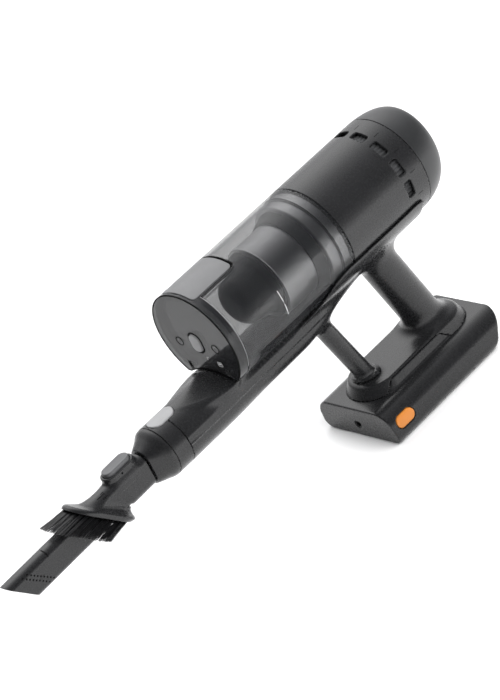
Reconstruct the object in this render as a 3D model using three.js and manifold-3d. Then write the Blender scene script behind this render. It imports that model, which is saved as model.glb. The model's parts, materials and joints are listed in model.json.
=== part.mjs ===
// Handheld vacuum cleaner, an assembly of separate pieces in millimetres, +Z up.
// The origin is the centre of the battery's flat bottom. +X points to the crevice tool, +Y to the left.
import * as THREE from 'three';
import { mergeVertices } from 'three/addons/utils/BufferGeometryUtils.js';
import Module from 'manifold-3d';

const wasm = await Module();
wasm.setup();

// ---- driving dimensions --------------------------------------------------------------------

const GAP = 0.35;                 // play between neighbouring pieces
const BODY_R = 47.5;              // radius of the main cylinder: bin, motor housing and cap
const AXIS_Z = 187;               // height of the main cylinder's axis
const WALL = 2;                   // wall of the moulded shells

const LID_FRONT_X = 178;          // outer face of the bin's lid
const LID_SEAM_X = 167.4;
const LID_PLATE = 2.4;
const BIN_REAR_X = 33.5;          // seam between the bin and the motor housing
const CAP_SEAM_X = -66.2;         // seam between the motor housing and the rear cap
const CAP_REAR_X = -94.9;
const CAP_ROUND = { startX: -62.8, depth: 13.2 };   // quarter ellipse round the cap's edge
const CAP_LEAN = 0.11;            // the cap's end leans back towards the top

const VENT_X = [-48.6, -40.5];
const VENT_WIDTH = 15.3;
const VENT_PITCH_DEG = 26.7;
const VENTS_PER_SIDE = 4;

const SADDLE_R = 67;              // the bin's underside is hollowed to this radius
const SADDLE_TOP_Z = AXIS_Z - 29.7;
const SADDLE_PLAY = 1.4;          // the frame stays this far below the hollow

const TUBE_Z = AXIS_Z - 53;       // axis of the suction tube
const TUBE_R = 23.9;
const TUBE_BORE = 17;
const TUBE_FRONT_X = 254.8;
const COLLAR_SEAM_X = 239.2;
const DUCT_REAR_X = 92;           // the duct turns up into the bin here
const DUCT_PORT = { x: [94, 112], halfWidth: 9 };

const CRADLE_INNER_R = 48;        // the frame's cradle round the cylinder
const CRADLE_OUTER_R = 49.5;
const CRADLE_REAR_X = -57;

const HANDLE = { top: [-11.4, AXIS_Z - 49], bottom: [-38.4, AXIS_Z - 149.5], radius: 17.9 };
const STRUT = { top: [66.1, AXIS_Z - 65.4], bottom: [41.8, AXIS_Z - 149.5], radius: 8.7 };
const FOOT = { x: [-64.6, 59.6], radius: 24.5, top: 43.4, spread: 3.2, endSpread: 6.2 };
const RAIL = { x: [-24.5, 39.5], top: 41.2 };   // the battery's raised middle, between the foot's ends

const BATTERY = {
  height: 32.5,
  bottom: { rear: -60.8, front: 72.8, halfWidth: 48.7, round: 9.9 },
  top: { rear: -80.7, front: 75, halfWidth: 44, round: 15 },
  bevel: 2.4,
};
const BAY = { x: [-56, 68], halfWidth: 38.6, top: 26.6 };
const SOCKET = { z: 13.6, radius: 3.6 };           // charging socket in the battery's front
const CELL = { radius: 9.2, length: 65.2, pitch: 18.75, count: 6 };

const TOOL_Z = TUBE_Z - 2.2;      // height of the flat tool section, half way along the sleeve
const TOOL_TILT = { degrees: 1.3, pivotX: 302 };    // the tool droops a little towards its tip
const CONE_FRONT_X = 273;
const SLEEVE = { t: 9.5, h: 15.3, r: 8.4 };         // half-thickness, half-height, corner radius
const NOZZLE = { t: 7.4, h: 13.7, r: 6.3, wall: 1.6, drop: 0.5 };
const TIP_X = 421.4;
const TIP_SLANT = 0.85;           // forward shift per mm of height at the nozzle's tip
const RIM_X = 332;                // centre of the brush rim
const RIM_SLANT = 0.865;
const BRISTLE = { tipX: 356.7, slant: 0.88 };

const SEGMENTS = 32;

// ---- colours --------------------------------------------------------------------------------

const finish = (color, roughness, metalness = 0) =>
  new THREE.MeshStandardMaterial({ color, roughness, metalness });

const charcoal = finish(0x45474a, 0.42, 0.35);
const slate = finish(0x5a5c5f, 0.4, 0.35);
const lightGrey = finish(0xc4c5c6, 0.45);
const orange = finish(0xdc8a30, 0.45);
const nearBlack = finish(0x1d1e20, 0.6);
const rubber = finish(0x17181a, 0.85);
const steel = finish(0xb4b6b8, 0.3, 1);
const copper = finish(0xa8683a, 0.4, 0.9);
const foam = finish(0x3b3d40, 0.95);
const board = finish(0x1d5a38, 0.6);
const cellWrap = finish(0x2f6f9f, 0.4);
const smoky = finish(0x75777a, 0.15);
smoky.transparent = true;
smoky.opacity = 0.45;

// ---- geometry helpers -----------------------------------------------------------------------

/** A geometry whose faces point out, whichever way its outline was drawn. */
function facingOut(geometry) {
  const plain = new THREE.BufferGeometry();
  plain.setAttribute('position', geometry.attributes.position.clone());
  if (geometry.index) plain.setIndex(geometry.index.clone());
  const merged = mergeVertices(plain, 1e-4);
  const index = merged.index.array;
  const [a, b, c] = [new THREE.Vector3(), new THREE.Vector3(), new THREE.Vector3()];
  const position = merged.attributes.position;
  const kept = [];
  let volume = 0;
  for (let i = 0; i < index.length; i += 3) {
    const [p, q, r] = [index[i], index[i + 1], index[i + 2]];
    if (p === q || q === r || r === p) continue;
    kept.push(p, q, r);
    a.fromBufferAttribute(position, p);
    b.fromBufferAttribute(position, q);
    c.fromBufferAttribute(position, r);
    volume += a.dot(b.cross(c));
  }
  if (volume < 0) kept.reverse();
  merged.setIndex(kept);
  return merged;
}

/** A manifold solid from a closed three.js geometry. */
function solid(geometry) {
  const g = facingOut(geometry);
  return new wasm.Manifold(new wasm.Mesh({
    numProp: 3,
    vertProperties: new Float32Array(g.attributes.position.array),
    triVerts: new Uint32Array(g.index.array),
  }));
}

function toGeometry(shape) {
  const { vertProperties, triVerts } = shape.getMesh();
  const geometry = new THREE.BufferGeometry();
  geometry.setAttribute('position', new THREE.BufferAttribute(vertProperties, 3));
  geometry.setIndex(new THREE.BufferAttribute(triVerts, 1));
  geometry.computeVertexNormals();
  return geometry;
}

const union = (shapes) => shapes.reduce((joined, next) => joined.add(next));

/** A body of revolution about an axis along X at height z, from a closed outline of [x, r]. */
function turned(outline, z = AXIS_Z, segments = SEGMENTS) {
  const points = outline.map(([x, r]) => new THREE.Vector2(r, x));
  if (outline[0][1] > 0) points.push(points[0].clone());
  const geometry = new THREE.LatheGeometry(points, segments);
  return solid(geometry.rotateZ(-Math.PI / 2).translate(0, 0, z));
}

const rodX = (x0, x1, r, z = AXIS_Z, segments = SEGMENTS) =>
  turned([[x0, 0], [x0, r], [x1, r], [x1, 0]], z, segments);

const ringX = (x0, x1, inner, outer, segments = SEGMENTS) =>
  turned([[x0, inner], [x0, outer], [x1, outer], [x1, inner]], AXIS_Z, segments);

const rodY = (y0, y1, r, x, z, segments = 12) =>
  solid(new THREE.CylinderGeometry(r, r, y1 - y0, segments).translate(x, (y0 + y1) / 2, z));

function block([x0, x1], [y0, y1], [z0, z1]) {
  const geometry = new THREE.BoxGeometry(x1 - x0, y1 - y0, z1 - z0);
  return solid(geometry.translate((x0 + x1) / 2, (y0 + y1) / 2, (z0 + z1) / 2));
}

/** A solid through closed rings of points; the end rings are capped by fans from their middles. */
function lofted(rings) {
  const count = rings[0].length;
  const positions = rings.flat().flatMap((p) => [p.x, p.y, p.z]);
  const index = [];
  for (let k = 0; k < rings.length - 1; k++) {
    for (let i = 0; i < count; i++) {
      const a = k * count + i;
      const b = k * count + (i + 1) % count;
      index.push(a, b, b + count, a, b + count, a + count);
    }
  }
  [0, rings.length - 1].forEach((k, end) => {
    const middle = positions.length / 3;
    const centre = new THREE.Vector3();
    rings[k].forEach((p) => centre.addScaledVector(p, 1 / count));
    positions.push(centre.x, centre.y, centre.z);
    for (let i = 0; i < count; i++) {
      const pair = [k * count + i, k * count + (i + 1) % count];
      index.push(middle, ...(end ? pair : pair.reverse()));
    }
  });
  const geometry = new THREE.BufferGeometry();
  geometry.setAttribute('position', new THREE.Float32BufferAttribute(positions, 3));
  geometry.setIndex(index);
  return solid(geometry);
}

/** Points of a rectangle with rounded corners, as [a, b] pairs about its centre. */
function roundedRect(halfA, halfB, r, steps = 3) {
  const points = [];
  const corners = [[1, 1], [-1, 1], [-1, -1], [1, -1]];
  corners.forEach(([sa, sb], quarter) => {
    for (let i = 0; i <= steps; i++) {
      const angle = (quarter + i / steps) * Math.PI / 2;
      points.push([
        sa * (halfA - r) + r * Math.cos(angle),
        sb * (halfB - r) + r * Math.sin(angle),
      ]);
    }
  });
  return points;
}

/** A ring across X. Its top leans forward by slant per mm of height. */
const ringAcrossX = (x, z, halfT, halfH, r, slant = 0) =>
  roundedRect(halfT, halfH, r).map(([y, dz]) => new THREE.Vector3(x + slant * dz, y, z + dz));

const ringAcrossZ = (z, halfX, halfY, r, x = 0) =>
  roundedRect(halfX, halfY, r).map(([dx, y]) => new THREE.Vector3(x + dx, y, z));

/** An upright prism with half-round ends, along X. */
const stadiumX = (x0, x1, r, z0, z1) =>
  lofted([z0, z1].map((z) => ringAcrossZ(z, (x1 - x0) / 2, r, r, (x0 + x1) / 2)));

/** Convex outline round points, sampled along rays from its middle: all outlines match up. */
function hullRing(x, points, middleZ, rays = 24) {
  const ring = [];
  for (let i = 0; i < rays; i++) {
    const angle = (i + 0.5) / rays * 2 * Math.PI;
    ring.push(new THREE.Vector2(Math.cos(angle), Math.sin(angle)));
  }
  const sorted = points.map(([y, z]) => [y, z - middleZ]).sort((p, q) => p[0] - q[0] || p[1] - q[1]);
  const half = (list) => list.reduce((chain, p) => {
    while (chain.length > 1) {
      const [a, b] = chain.slice(-2);
      if ((b[0] - a[0]) * (p[1] - a[1]) - (b[1] - a[1]) * (p[0] - a[0]) > 0) break;
      chain.pop();
    }
    return [...chain, p];
  }, []);
  const hull = [...half(sorted).slice(0, -1), ...half([...sorted].reverse()).slice(0, -1)];
  return ring.map((ray) => {
    let reach = 0;
    hull.forEach(([ay, az], i) => {
      const [by, bz] = hull[(i + 1) % hull.length];
      const cross = ray.x * (bz - az) - ray.y * (by - ay);
      const along = (ay * (bz - az) - az * (by - ay)) / cross;
      const across = (ay * ray.y - az * ray.x) / cross;
      if (along > 0 && across >= -1e-6 && across <= 1 + 1e-6) reach = Math.max(reach, along);
    });
    return new THREE.Vector3(x, ray.x * reach, middleZ + ray.y * reach);
  });
}

const radians = (degrees) => degrees * Math.PI / 180;
const bodyPoint = (r, degrees) => [r * Math.sin(radians(degrees)), AXIS_Z + r * Math.cos(radians(degrees))];

/** A slice of the main cylinder's wall, turned from the top by +- halfDegrees. */
function wallPatch([x0, x1], [r0, r1], halfDegrees, steps = 6) {
  const ring = (x) => {
    const arc = (r, from) => Array.from({ length: steps + 1 }, (_, i) => {
      const [y, z] = bodyPoint(r, from * halfDegrees * (1 - 2 * i / steps));
      return new THREE.Vector3(x, y, z);
    });
    return [...arc(r1, 1), ...arc(r0, -1)];
  };
  const rings = [ring(x0), ring(x1)];
  const count = rings[0].length;
  const faces = THREE.ShapeUtils.triangulateShape(rings[0].map((p) => new THREE.Vector2(p.y, p.z)), []);
  const index = [];
  for (let i = 0; i < count; i++) {
    const j = (i + 1) % count;
    index.push(i, j, j + count, i, j + count, i + count);
  }
  faces.forEach(([a, b, c]) => index.push(c, b, a, a + count, b + count, c + count));
  const geometry = new THREE.BufferGeometry();
  const positions = rings.flat().flatMap((p) => [p.x, p.y, p.z]);
  geometry.setAttribute('position', new THREE.Float32BufferAttribute(positions, 3));
  geometry.setIndex(index);
  return solid(geometry);
}

/** The space under the bin's hollowed underside, grown by offset. */
const saddle = (x0, x1, offset = 0) =>
  rodX(x0, x1, SADDLE_R + offset, SADDLE_TOP_Z - SADDLE_R, 60);

/** A slanted pillar with a flare at each end, from a top point to a bottom point [x, z]. */
function pillar({ top, bottom, radius }, flareTop, flareBottom, flareLength) {
  const start = new THREE.Vector3(top[0], 0, top[1]);
  const end = new THREE.Vector3(bottom[0], 0, bottom[1]);
  const length = start.distanceTo(end);
  const stops = [0, 0.25, 0.55, 1];
  const distances = [
    ...stops.map((s) => s * flareLength[0]),
    ...stops.map((s) => length - (1 - s) * flareLength[1]),
  ];
  return lofted(distances.map((d) => {
    const near = Math.max(0, 1 - d / flareLength[0]);
    const far = Math.max(0, 1 - (length - d) / flareLength[1]);
    const r = radius + flareTop * near ** 2.4 + flareBottom * far ** 2.4;
    const centre = start.clone().lerp(end, d / length);
    return roundedRect(r, r, r, 5).map(([a, b]) => new THREE.Vector3(centre.x + a, b, centre.z));
  }));
}

// ---- assembly ------------------------------------------------------------------------------

const group = new THREE.Group();

function piece(name, shape, material) {
  const mesh = new THREE.Mesh(toGeometry(shape), material);
  mesh.name = name;
  group.add(mesh);
}

// ---- frame: cradle, spine, tube housing, handle, strut and foot in one moulding ----------------

// Stations along the spine and tube: x, tube axis below the main axis, tube radius,
// angle of the cradle's edge from the top, half-width of the shoulders under the bin.
const SPINE = [
  [CRADLE_REAR_X, 36, 12.6, 125, 0],
  [-50, 38.6, 14.2, 116.5, 0],
  [-30, 40, 16, 115, 0],
  [-12, 40.4, 16.6, 115, 0],
  [25, 43.2, 17.5, 115, 0],
  [48, 46, 19, 115.5, 0],
  [60, 48.6, 19.8, 119, 0],
  [74, 51.6, 20.6, 131, 24],
  [88, 53, 21.2, 143, 22],
  [112, 53, 21.8, 180, 17],
  [150, 53, 22.4, 180, 17],
  [166, 53, 23, 180, 22],
  [177, 53, 23.4, 180, 28],
  [186, 53, 23.6, 180, 27.6],
  [198, 53, 23.7, 180, 24],
  [214, 53, 23.8, 180, 18],
  [COLLAR_SEAM_X - GAP, 53, TUBE_R, 180, 0],
];

function spineRing([x, drop, radius, edge, shoulder]) {
  const points = [];
  for (let i = 0; i < 36; i++) {
    const angle = i / 36 * 2 * Math.PI;
    points.push([radius * Math.cos(angle), AXIS_Z - drop + radius * Math.sin(angle)]);
  }
  for (let degrees = edge; degrees < 180; degrees += 6) {
    const [y, z] = bodyPoint(CRADLE_OUTER_R, degrees);
    points.push([y, z], [-y, z]);
  }
  const dip = SADDLE_R - Math.sqrt(SADDLE_R ** 2 - shoulder ** 2);
  [-1, -0.5, 0, 0.5, 1].forEach((s) => {
    if (shoulder > 0) points.push([s * shoulder, SADDLE_TOP_Z - SADDLE_PLAY - dip * s * s]);
  });
  return hullRing(x, points, AXIS_Z - drop);
}

/** The oval foot at height z, from its top outline spread out down its flank. */
function footRing(z, inset = 0) {
  const down = (FOOT.top - z) / (FOOT.top - BATTERY.height);
  const [x0, x1] = [FOOT.x[0] - FOOT.endSpread * down + inset, FOOT.x[1] + FOOT.endSpread * down - inset];
  const halfWidth = FOOT.radius + FOOT.spread * down - inset;
  return ringAcrossZ(z, (x1 - x0) / 2, halfWidth, halfWidth, (x0 + x1) / 2);
}

function mainFrame() {
  const spine = lofted(SPINE.map(spineRing));
  const handle = pillar(HANDLE, 5, 10, [16, 20]);
  const strut = pillar(STRUT, 5, 12, [14, 18]);
  const footBase = BATTERY.height + GAP;
  const foot = lofted([footRing(footBase), footRing(FOOT.top - 1.2), footRing(FOOT.top, 1)]);
  const underFoot = block([-100, 100], [-50, 50], [10, footBase]);
  const railSpace = block([RAIL.x[0] - GAP, RAIL.x[1] + GAP], [-40, 40], [footBase - 1, RAIL.top + GAP]);
  const cylinderSpace = union([
    rodX(-120, BIN_REAR_X, CRADLE_INNER_R),
    rodX(BIN_REAR_X - 1, LID_FRONT_X + 1.5, CRADLE_INNER_R)
      .subtract(saddle(BIN_REAR_X, LID_FRONT_X + 2, -SADDLE_PLAY)),
  ]);
  const duct = union([
    rodX(DUCT_REAR_X, TUBE_FRONT_X + 10, TUBE_BORE, TUBE_Z, 28),
    block(DUCT_PORT.x, [-DUCT_PORT.halfWidth, DUCT_PORT.halfWidth], [TUBE_Z, AXIS_Z]),
  ]);
  return union([spine, handle, strut, foot])
    .subtract(underFoot)
    .subtract(railSpace)
    .subtract(cylinderSpace)
    .subtract(duct)
    .subtract(releasePocket());
}

const RELEASE = {
  x: [226.6, 253], radius: 8.1, z: [TUBE_Z + 21, TUBE_Z + 24.9], floor: TUBE_Z + 18.8,
};

const releasePocket = () =>
  stadiumX(RELEASE.x[0] - GAP, RELEASE.x[1] + GAP, RELEASE.radius + GAP, RELEASE.floor, AXIS_Z);

function tubeCollar() {
  const shell = turned([
    [COLLAR_SEAM_X, TUBE_BORE + 0.4], [COLLAR_SEAM_X, TUBE_R],
    [TUBE_FRONT_X, TUBE_R], [TUBE_FRONT_X, TUBE_BORE + 0.4],
  ], TUBE_Z);
  return shell.subtract(releasePocket());
}

function ductSeal() {
  const { x, halfWidth } = DUCT_PORT;
  const reach = [-halfWidth - 3, halfWidth + 3];
  return block([x[0] - 3, x[1] + 3], reach, [TUBE_Z, AXIS_Z])
    .intersect(saddle(x[0] - 4, x[1] + 4, -0.4))
    .subtract(saddle(x[0] - 5, x[1] + 5, -SADDLE_PLAY + 0.2))
    .subtract(block(x, [-halfWidth, halfWidth], [TUBE_Z - 1, AXIS_Z + 1]));
}

piece('main_frame', mainFrame(), charcoal);
piece('tube_collar', tubeCollar(), charcoal);
piece('tube_release_button', stadiumX(...RELEASE.x, RELEASE.radius, ...RELEASE.z), lightGrey);
piece('release_spring', stadiumX(230, 249, 3, RELEASE.floor + 0.1, RELEASE.floor + 0.5), steel);
piece('duct_seal', ductSeal(), rubber);

// ---- motor housing, fan and console -------------------------------------------------------------

function motorHousing() {
  const [front, rear, inner] = [BIN_REAR_X - GAP, CAP_SEAM_X, BODY_R - 2.5];
  const shell = turned([
    [rear, BODY_R], [front, BODY_R], [front, 40], [front - 2.5, 40], [front - 2.5, inner], [rear, inner],
  ]);
  const slots = [];
  for (let i = 0; i < 2 * VENTS_PER_SIDE; i++) {
    const degrees = (i - VENTS_PER_SIDE + 0.5) * VENT_PITCH_DEG;
    const slot = new THREE.BoxGeometry(VENT_X[1] - VENT_X[0], VENT_WIDTH, 12);
    slot.translate((VENT_X[0] + VENT_X[1]) / 2, 0, BODY_R);
    slots.push(solid(slot.rotateX(-radians(degrees)).translate(0, 0, AXIS_Z)));
  }
  return shell.subtract(union(slots));
}

/** Leans the rear end of a solid back towards the top, and leaves its front end alone. */
const leaned = (shape) => shape.warp((point) => {
  const share = Math.max(0, (CAP_SEAM_X - point[0]) / (CAP_SEAM_X - CAP_REAR_X));
  point[0] -= CAP_LEAN * (point[2] - AXIS_Z) * share;
});

function rearCap() {
  const steps = 5;
  const { startX, depth } = CAP_ROUND;
  const round = (wall) => Array.from({ length: steps + 1 }, (_, i) => {
    const angle = (0.08 + 0.92 * i / steps) * Math.PI / 2;
    const length = startX - CAP_REAR_X - wall;
    return [startX - length * Math.sin(angle), BODY_R - wall - depth * (1 - Math.cos(angle))];
  });
  const start = CAP_SEAM_X - GAP;
  const hole = CONSOLE.radius + 0.5;
  const spigot = [BODY_R - 2.9, BODY_R - 5];
  return leaned(turned([
    [start, BODY_R], ...round(0), [CAP_REAR_X, hole], [CAP_REAR_X + 2.4, hole],
    ...round(2.4).slice(1).reverse(), [start - 2, spigot[1]],
    [start + 6, spigot[1]], [start + 6, spigot[0]], [start, spigot[0]],
  ]));
}

const CONSOLE = { radius: 19.4, buttonRadius: 5.6, buttonZ: AXIS_Z - 8, rear: CAP_REAR_X + 0.3 };

function consoleHousing() {
  const { radius, rear } = CONSOLE;
  const cup = turned([
    [rear + 2.6, radius - WALL], [rear + 2.6, radius], [-33.5, radius], [-33.5, 6], [-35.5, 6],
    [-35.5, radius - WALL],
  ]);
  const spokes = [90, 210, 330].map((degrees) => {
    const spoke = new THREE.BoxGeometry(3.5, 7, BODY_R - 2.9 - radius + 1);
    spoke.translate(-35.3, 0, (BODY_R - 2.9 + radius - 1) / 2);
    return solid(spoke.rotateX(radians(degrees)).translate(0, 0, AXIS_Z));
  });
  return leaned(union([cup, ...spokes]));
}

const consoleBore = rodX(-110, -85, CONSOLE.buttonRadius + 0.4, CONSOLE.buttonZ, 24);

function impeller() {
  const hub = turned([[10, 2.4], [10, 19.5], [11.5, 19.5], [13.5, 9], [19, 5.5], [19, 2.4]], AXIS_Z, 28);
  const blades = Array.from({ length: 7 }, (_, i) => {
    const blade = new THREE.BoxGeometry(5.5, 1.2, 13.4);
    blade.translate(14, 0, 12.5);
    return solid(blade.rotateX(i / 7 * 2 * Math.PI).translate(0, 0, AXIS_Z));
  });
  return union([hub, ...blades]).subtract(rodX(9, 20, 2.4, AXIS_Z, 16));
}

piece('motor_housing', motorHousing(), charcoal);
piece('rear_cap', rearCap(), slate);
piece('exhaust_filter', ringX(-58, -38, 39, BODY_R - 3.2), foam);
piece('console_housing', consoleHousing(), nearBlack);
const displayPanel = rodX(CONSOLE.rear, CONSOLE.rear + 2, CONSOLE.radius - 0.6).subtract(consoleBore);
piece('display_panel', leaned(displayPanel), nearBlack);
const buttonX = CAP_REAR_X - CAP_LEAN * (CONSOLE.buttonZ - AXIS_Z);
const powerButton = rodX(buttonX - 0.8, buttonX + 4, CONSOLE.buttonRadius, CONSOLE.buttonZ, 24);
piece('power_button', powerButton, lightGrey);
piece('control_board', rodX(-84, -82.4, 16.6, AXIS_Z, 24), board);
piece('motor_board', ringX(-46, -44.4, 4, 16.6, 24), board);
piece('motor_shaft', rodX(-30, 20, 2, AXIS_Z, 16), steel);
piece('rotor', ringX(-22, 2, 2.4, 9, 20), steel);
piece('stator', ringX(-23, 3, 9.8, 19.6, 24), copper);
piece('motor_can', turned([
  [-28, 5.4], [-28, 21.6], [8, 21.6], [8, 5.4], [4.6, 5.4], [4.6, 20], [-24.6, 20], [-24.6, 5.4],
], AXIS_Z, 28), steel);
piece('front_bearing', ringX(4.8, 8, 2.4, 5.1, 16), steel);
piece('rear_bearing', ringX(-28, -24.8, 2.4, 5.1, 16), steel);
piece('impeller', impeller(), steel);
piece('fan_shroud', turned([
  [8.4, 20.6], [8.4, 23.4], [22, 23.4], [22, 10], [20.4, 10], [20.4, 20.6],
], AXIS_Z, 28), nearBlack);
piece('motor_mount_front', ringX(22.4, 28, 15, 44.4), rubber);
piece('motor_mount_rear', ringX(-32.8, -28.4, 7, 20, 24), rubber);

// ---- dust bin ---------------------------------------------------------------------------------

const LATCH = { x: [127, 174.2], degrees: 25.2, inner: 45.2, play: 1.1 };
const HINGE = {
  x: 175.4, z: SADDLE_TOP_Z + 2.2, radius: 1.1, bore: 1.4, arm: [22, 25], armEnd: 1.9, armDepth: 3.9,
  knuckle: 8.1, lip: 8.9, socket: 9.1,    // below the hinge the seam is rounded about it
};

/** Space inside the main cylinder above the hollowed underside. */
const binSpace = (x0, x1, r, offset) => rodX(x0, x1, r).subtract(saddle(x0 - 1, x1 + 1, offset));

const mirrored = (pair) => [pair, [-pair[1], -pair[0]]];

const hingeBore = () => union(mirrored([18, 29]).map(([y0, y1]) =>
  rodY(y0, y1, HINGE.bore, HINGE.x, HINGE.z)));

const aboutHinge = (r) => rodY(-BODY_R, BODY_R, r, HINGE.x, HINGE.z, 48);

/** The space from x0 to x1 below the hinge axis. */
const belowHinge = (x0, x1) => block([x0, x1], [-BODY_R, BODY_R], [TUBE_Z, HINGE.z]);

function dustBin() {
  const end = LID_SEAM_X - GAP;
  const tray = wallPatch([LATCH.x[0] - 4, end], [40.8, BODY_R - 1], LATCH.degrees + 4);
  const pocket = wallPatch([LATCH.x[0] - 0.5, end + 1], [42.8, BODY_R + 5], LATCH.degrees + LATCH.play);
  const armZ = [HINGE.z - HINGE.armDepth, HINGE.z + HINGE.armEnd];
  const arms = mirrored(HINGE.arm).map((y) => block([end - 6, HINGE.x + HINGE.armEnd], y, armZ));
  const corners = binSpace(end - 1, HINGE.x, BODY_R, 0).intersect(belowHinge(end - 1, HINGE.x));
  return binSpace(BIN_REAR_X, end, BODY_R, 0)
    .add(corners)
    .subtract(binSpace(BIN_REAR_X - 1, HINGE.x + 1, BODY_R - WALL, WALL))
    .subtract(aboutHinge(HINGE.socket))
    .add(tray)
    .subtract(pocket)
    .add(union(arms))
    .subtract(hingeBore())
    .subtract(block(DUCT_PORT.x, [-DUCT_PORT.halfWidth, DUCT_PORT.halfWidth], [TUBE_Z, SADDLE_TOP_Z + 6]));
}

function binLid() {
  const plateX = LID_FRONT_X - LID_PLATE;
  const edge = turned([
    [LID_SEAM_X, 0], [LID_SEAM_X, BODY_R], [LID_FRONT_X - 1.2, BODY_R], [LID_FRONT_X, BODY_R - 1.2],
    [LID_FRONT_X, 0],
  ]);
  const bosses = [[18.4, 21.6], [25.4, 28.4]].flatMap(mirrored)
    .map((y) => block([HINGE.x - 2.4, plateX + 0.5], y, [HINGE.z - 6.5, HINGE.z + 2.4]));
  const insets = [-1, 1].map((side) =>
    rodX(LID_FRONT_X - 1.2, LID_FRONT_X + 1, 3.2, AXIS_Z - 3.2, 16).translate([0, side * 23.2, 0]));
  const clearance = mirrored([HINGE.arm[0] - 0.4, HINGE.arm[1] + 0.4])
    .map((y) => block([LID_SEAM_X - 1, LID_FRONT_X + 1], y, [TUBE_Z, HINGE.z + 3]));
  const cap = edge
    .subtract(binSpace(LID_SEAM_X - 1, plateX, BODY_R - WALL, WALL))
    .subtract(belowHinge(LID_SEAM_X - 1, HINGE.x).subtract(aboutHinge(HINGE.knuckle)))
    .subtract(belowHinge(HINGE.x, LID_FRONT_X + 1).subtract(aboutHinge(HINGE.lip)))
    .add(union(bosses).intersect(rodX(LID_SEAM_X, LID_FRONT_X, BODY_R - 0.5)))
    .subtract(saddle(LID_SEAM_X - 1, LID_FRONT_X + 1))
    .subtract(union(clearance))
    .subtract(union(insets))
    .subtract(hingeBore());
  return cap
    .subtract(wallPatch([LID_SEAM_X - 1, LATCH.x[1] + 0.5], [40, BODY_R + 5], LATCH.degrees + LATCH.play))
    .subtract(frontButton(0.4, LID_FRONT_X - 12, LID_FRONT_X + 6));
}

const frontButton = (grow, x0, x1) =>
  lofted([x0, x1].map((x) => ringAcrossX(x, AXIS_Z - 1, 6.3 + grow, 9 + grow, 6.3 + grow)));

function lidSeal() {
  const { x: [, latchFront], degrees } = LATCH;
  const [rear, front] = [166.4, 170];
  const outer = (x0, x1) => binSpace(x0, x1, BODY_R - WALL - 0.3, WALL + 0.3);
  const bridges = mirrored([17, 31]).map((y) => block([rear, front], y, [HINGE.z - 4.5, HINGE.z + 6]));
  const notches = mirrored([18, 29]).map((y) => block([165, 171], y, [TUBE_Z, HINGE.z + 3]));
  return outer(rear, front)
    .subtract(binSpace(rear - 1, front + 1, BODY_R - WALL - 3, WALL + 3))
    .add(union(bridges).intersect(outer(rear, front)))
    .subtract(union(notches))
    .subtract(wallPatch([165, latchFront + 1], [39, BODY_R], degrees + 5));
}

const insideBin = (shape, offset = WALL + 1) => shape.subtract(saddle(20, 180, offset));

piece('dust_bin', dustBin(), smoky);
piece('bin_lid', binLid(), smoky);
piece('lid_seal', lidSeal(), rubber);
mirrored([18.6, 28.2]).forEach((y, i) =>
  piece(`hinge_pin_${['left', 'right'][i]}`, rodY(...y, HINGE.radius, HINGE.x, HINGE.z), steel));
piece('latch_panel', wallPatch(LATCH.x, [LATCH.inner, BODY_R], LATCH.degrees), slate);
piece('latch_spring', block([146, 156], [-4, 4], [AXIS_Z + 42.9, AXIS_Z + 43.1]), steel);
piece('bin_release_button', frontButton(0, LID_FRONT_X - 5.5, LID_FRONT_X + 1.6), lightGrey);
piece('pre_filter', insideBin(rodX(34.5, 43.4, 44.6)), foam);
piece('filter_flange', insideBin(ringX(44, 48, 20, 45)), nearBlack);
piece('cyclone_core', insideBin(turned([
  [48.4, 32.8], [48.4, 34.8], [100, 34.8], [100, 24.6], [98, 24.6], [98, 32.8],
])), slate);
piece('cyclone_band', insideBin(turned([[55, 38.6], [55, 41], [66, 36.6], [66, 35.2]])), nearBlack);
piece('cyclone_cone', insideBin(turned([
  [50, 24], [50, 26], [96, 14], [96, 12],
])), nearBlack);
piece('mesh_shroud', turned([
  [98.4, 20], [98.4, 22], [122, 22], [128, 19.6], [132, 13.8], [133, 0], [131, 0], [130, 12.8],
  [126.6, 18], [121.4, 20],
]), nearBlack);

// ---- battery ---------------------------------------------------------------------------------

const BUTTON = { x: 57, z: 17.4, halfLength: 10.8, halfHeight: 5.6 };

const sideButton = (grow, y0, y1) => lofted([y0, y1].map((y) =>
  roundedRect(BUTTON.halfLength + grow, BUTTON.halfHeight + grow, BUTTON.halfHeight + grow)
    .map(([dx, dz]) => new THREE.Vector3(BUTTON.x + dx, y, BUTTON.z + dz))));

/** The battery's outer body: a section across X with big rounded corners, and sloping ends. */
function batteryBody(grow = 0) {
  const { height, bottom, top, bevel } = BATTERY;
  const at = (key, z) => bottom[key] + (top[key] - bottom[key]) * z / height;
  const steps = 4;
  const side = Array.from({ length: 2 * (steps + 1) }, (_, i) => {
    const low = i <= steps;
    const angle = (low ? i : i - steps - 1) / steps * Math.PI / 2;
    const r = low ? bottom.round : top.round;
    const z = low ? r * (1 - Math.cos(angle)) : height - r * (1 - Math.sin(angle));
    const y = at('halfWidth', z) - r * (1 - (low ? Math.sin(angle) : Math.cos(angle)));
    return [y + grow, z + grow * (2 * z / height - 1)];
  });
  const section = [...side, ...side.map(([y, z]) => [-y, z]).reverse()];
  const ring = (end, inward, shrink) => section.map(([y, z]) => new THREE.Vector3(
    at(end, z) + inward * bevel,
    y * (1 - shrink * bevel / top.halfWidth),
    height / 2 + (z - height / 2) * (1 - shrink * bevel / (height / 2)),
  ));
  const edge = [[0, 1], [0.36, 0.35], [1, 0]];     // rounded edge of each end: [inward, shrink]
  return lofted([
    ...edge.map(([inward, shrink]) => ring('rear', inward, shrink)),
    ...edge.toReversed().map(([inward, shrink]) => ring('front', -inward, shrink)),
  ]);
}

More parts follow.
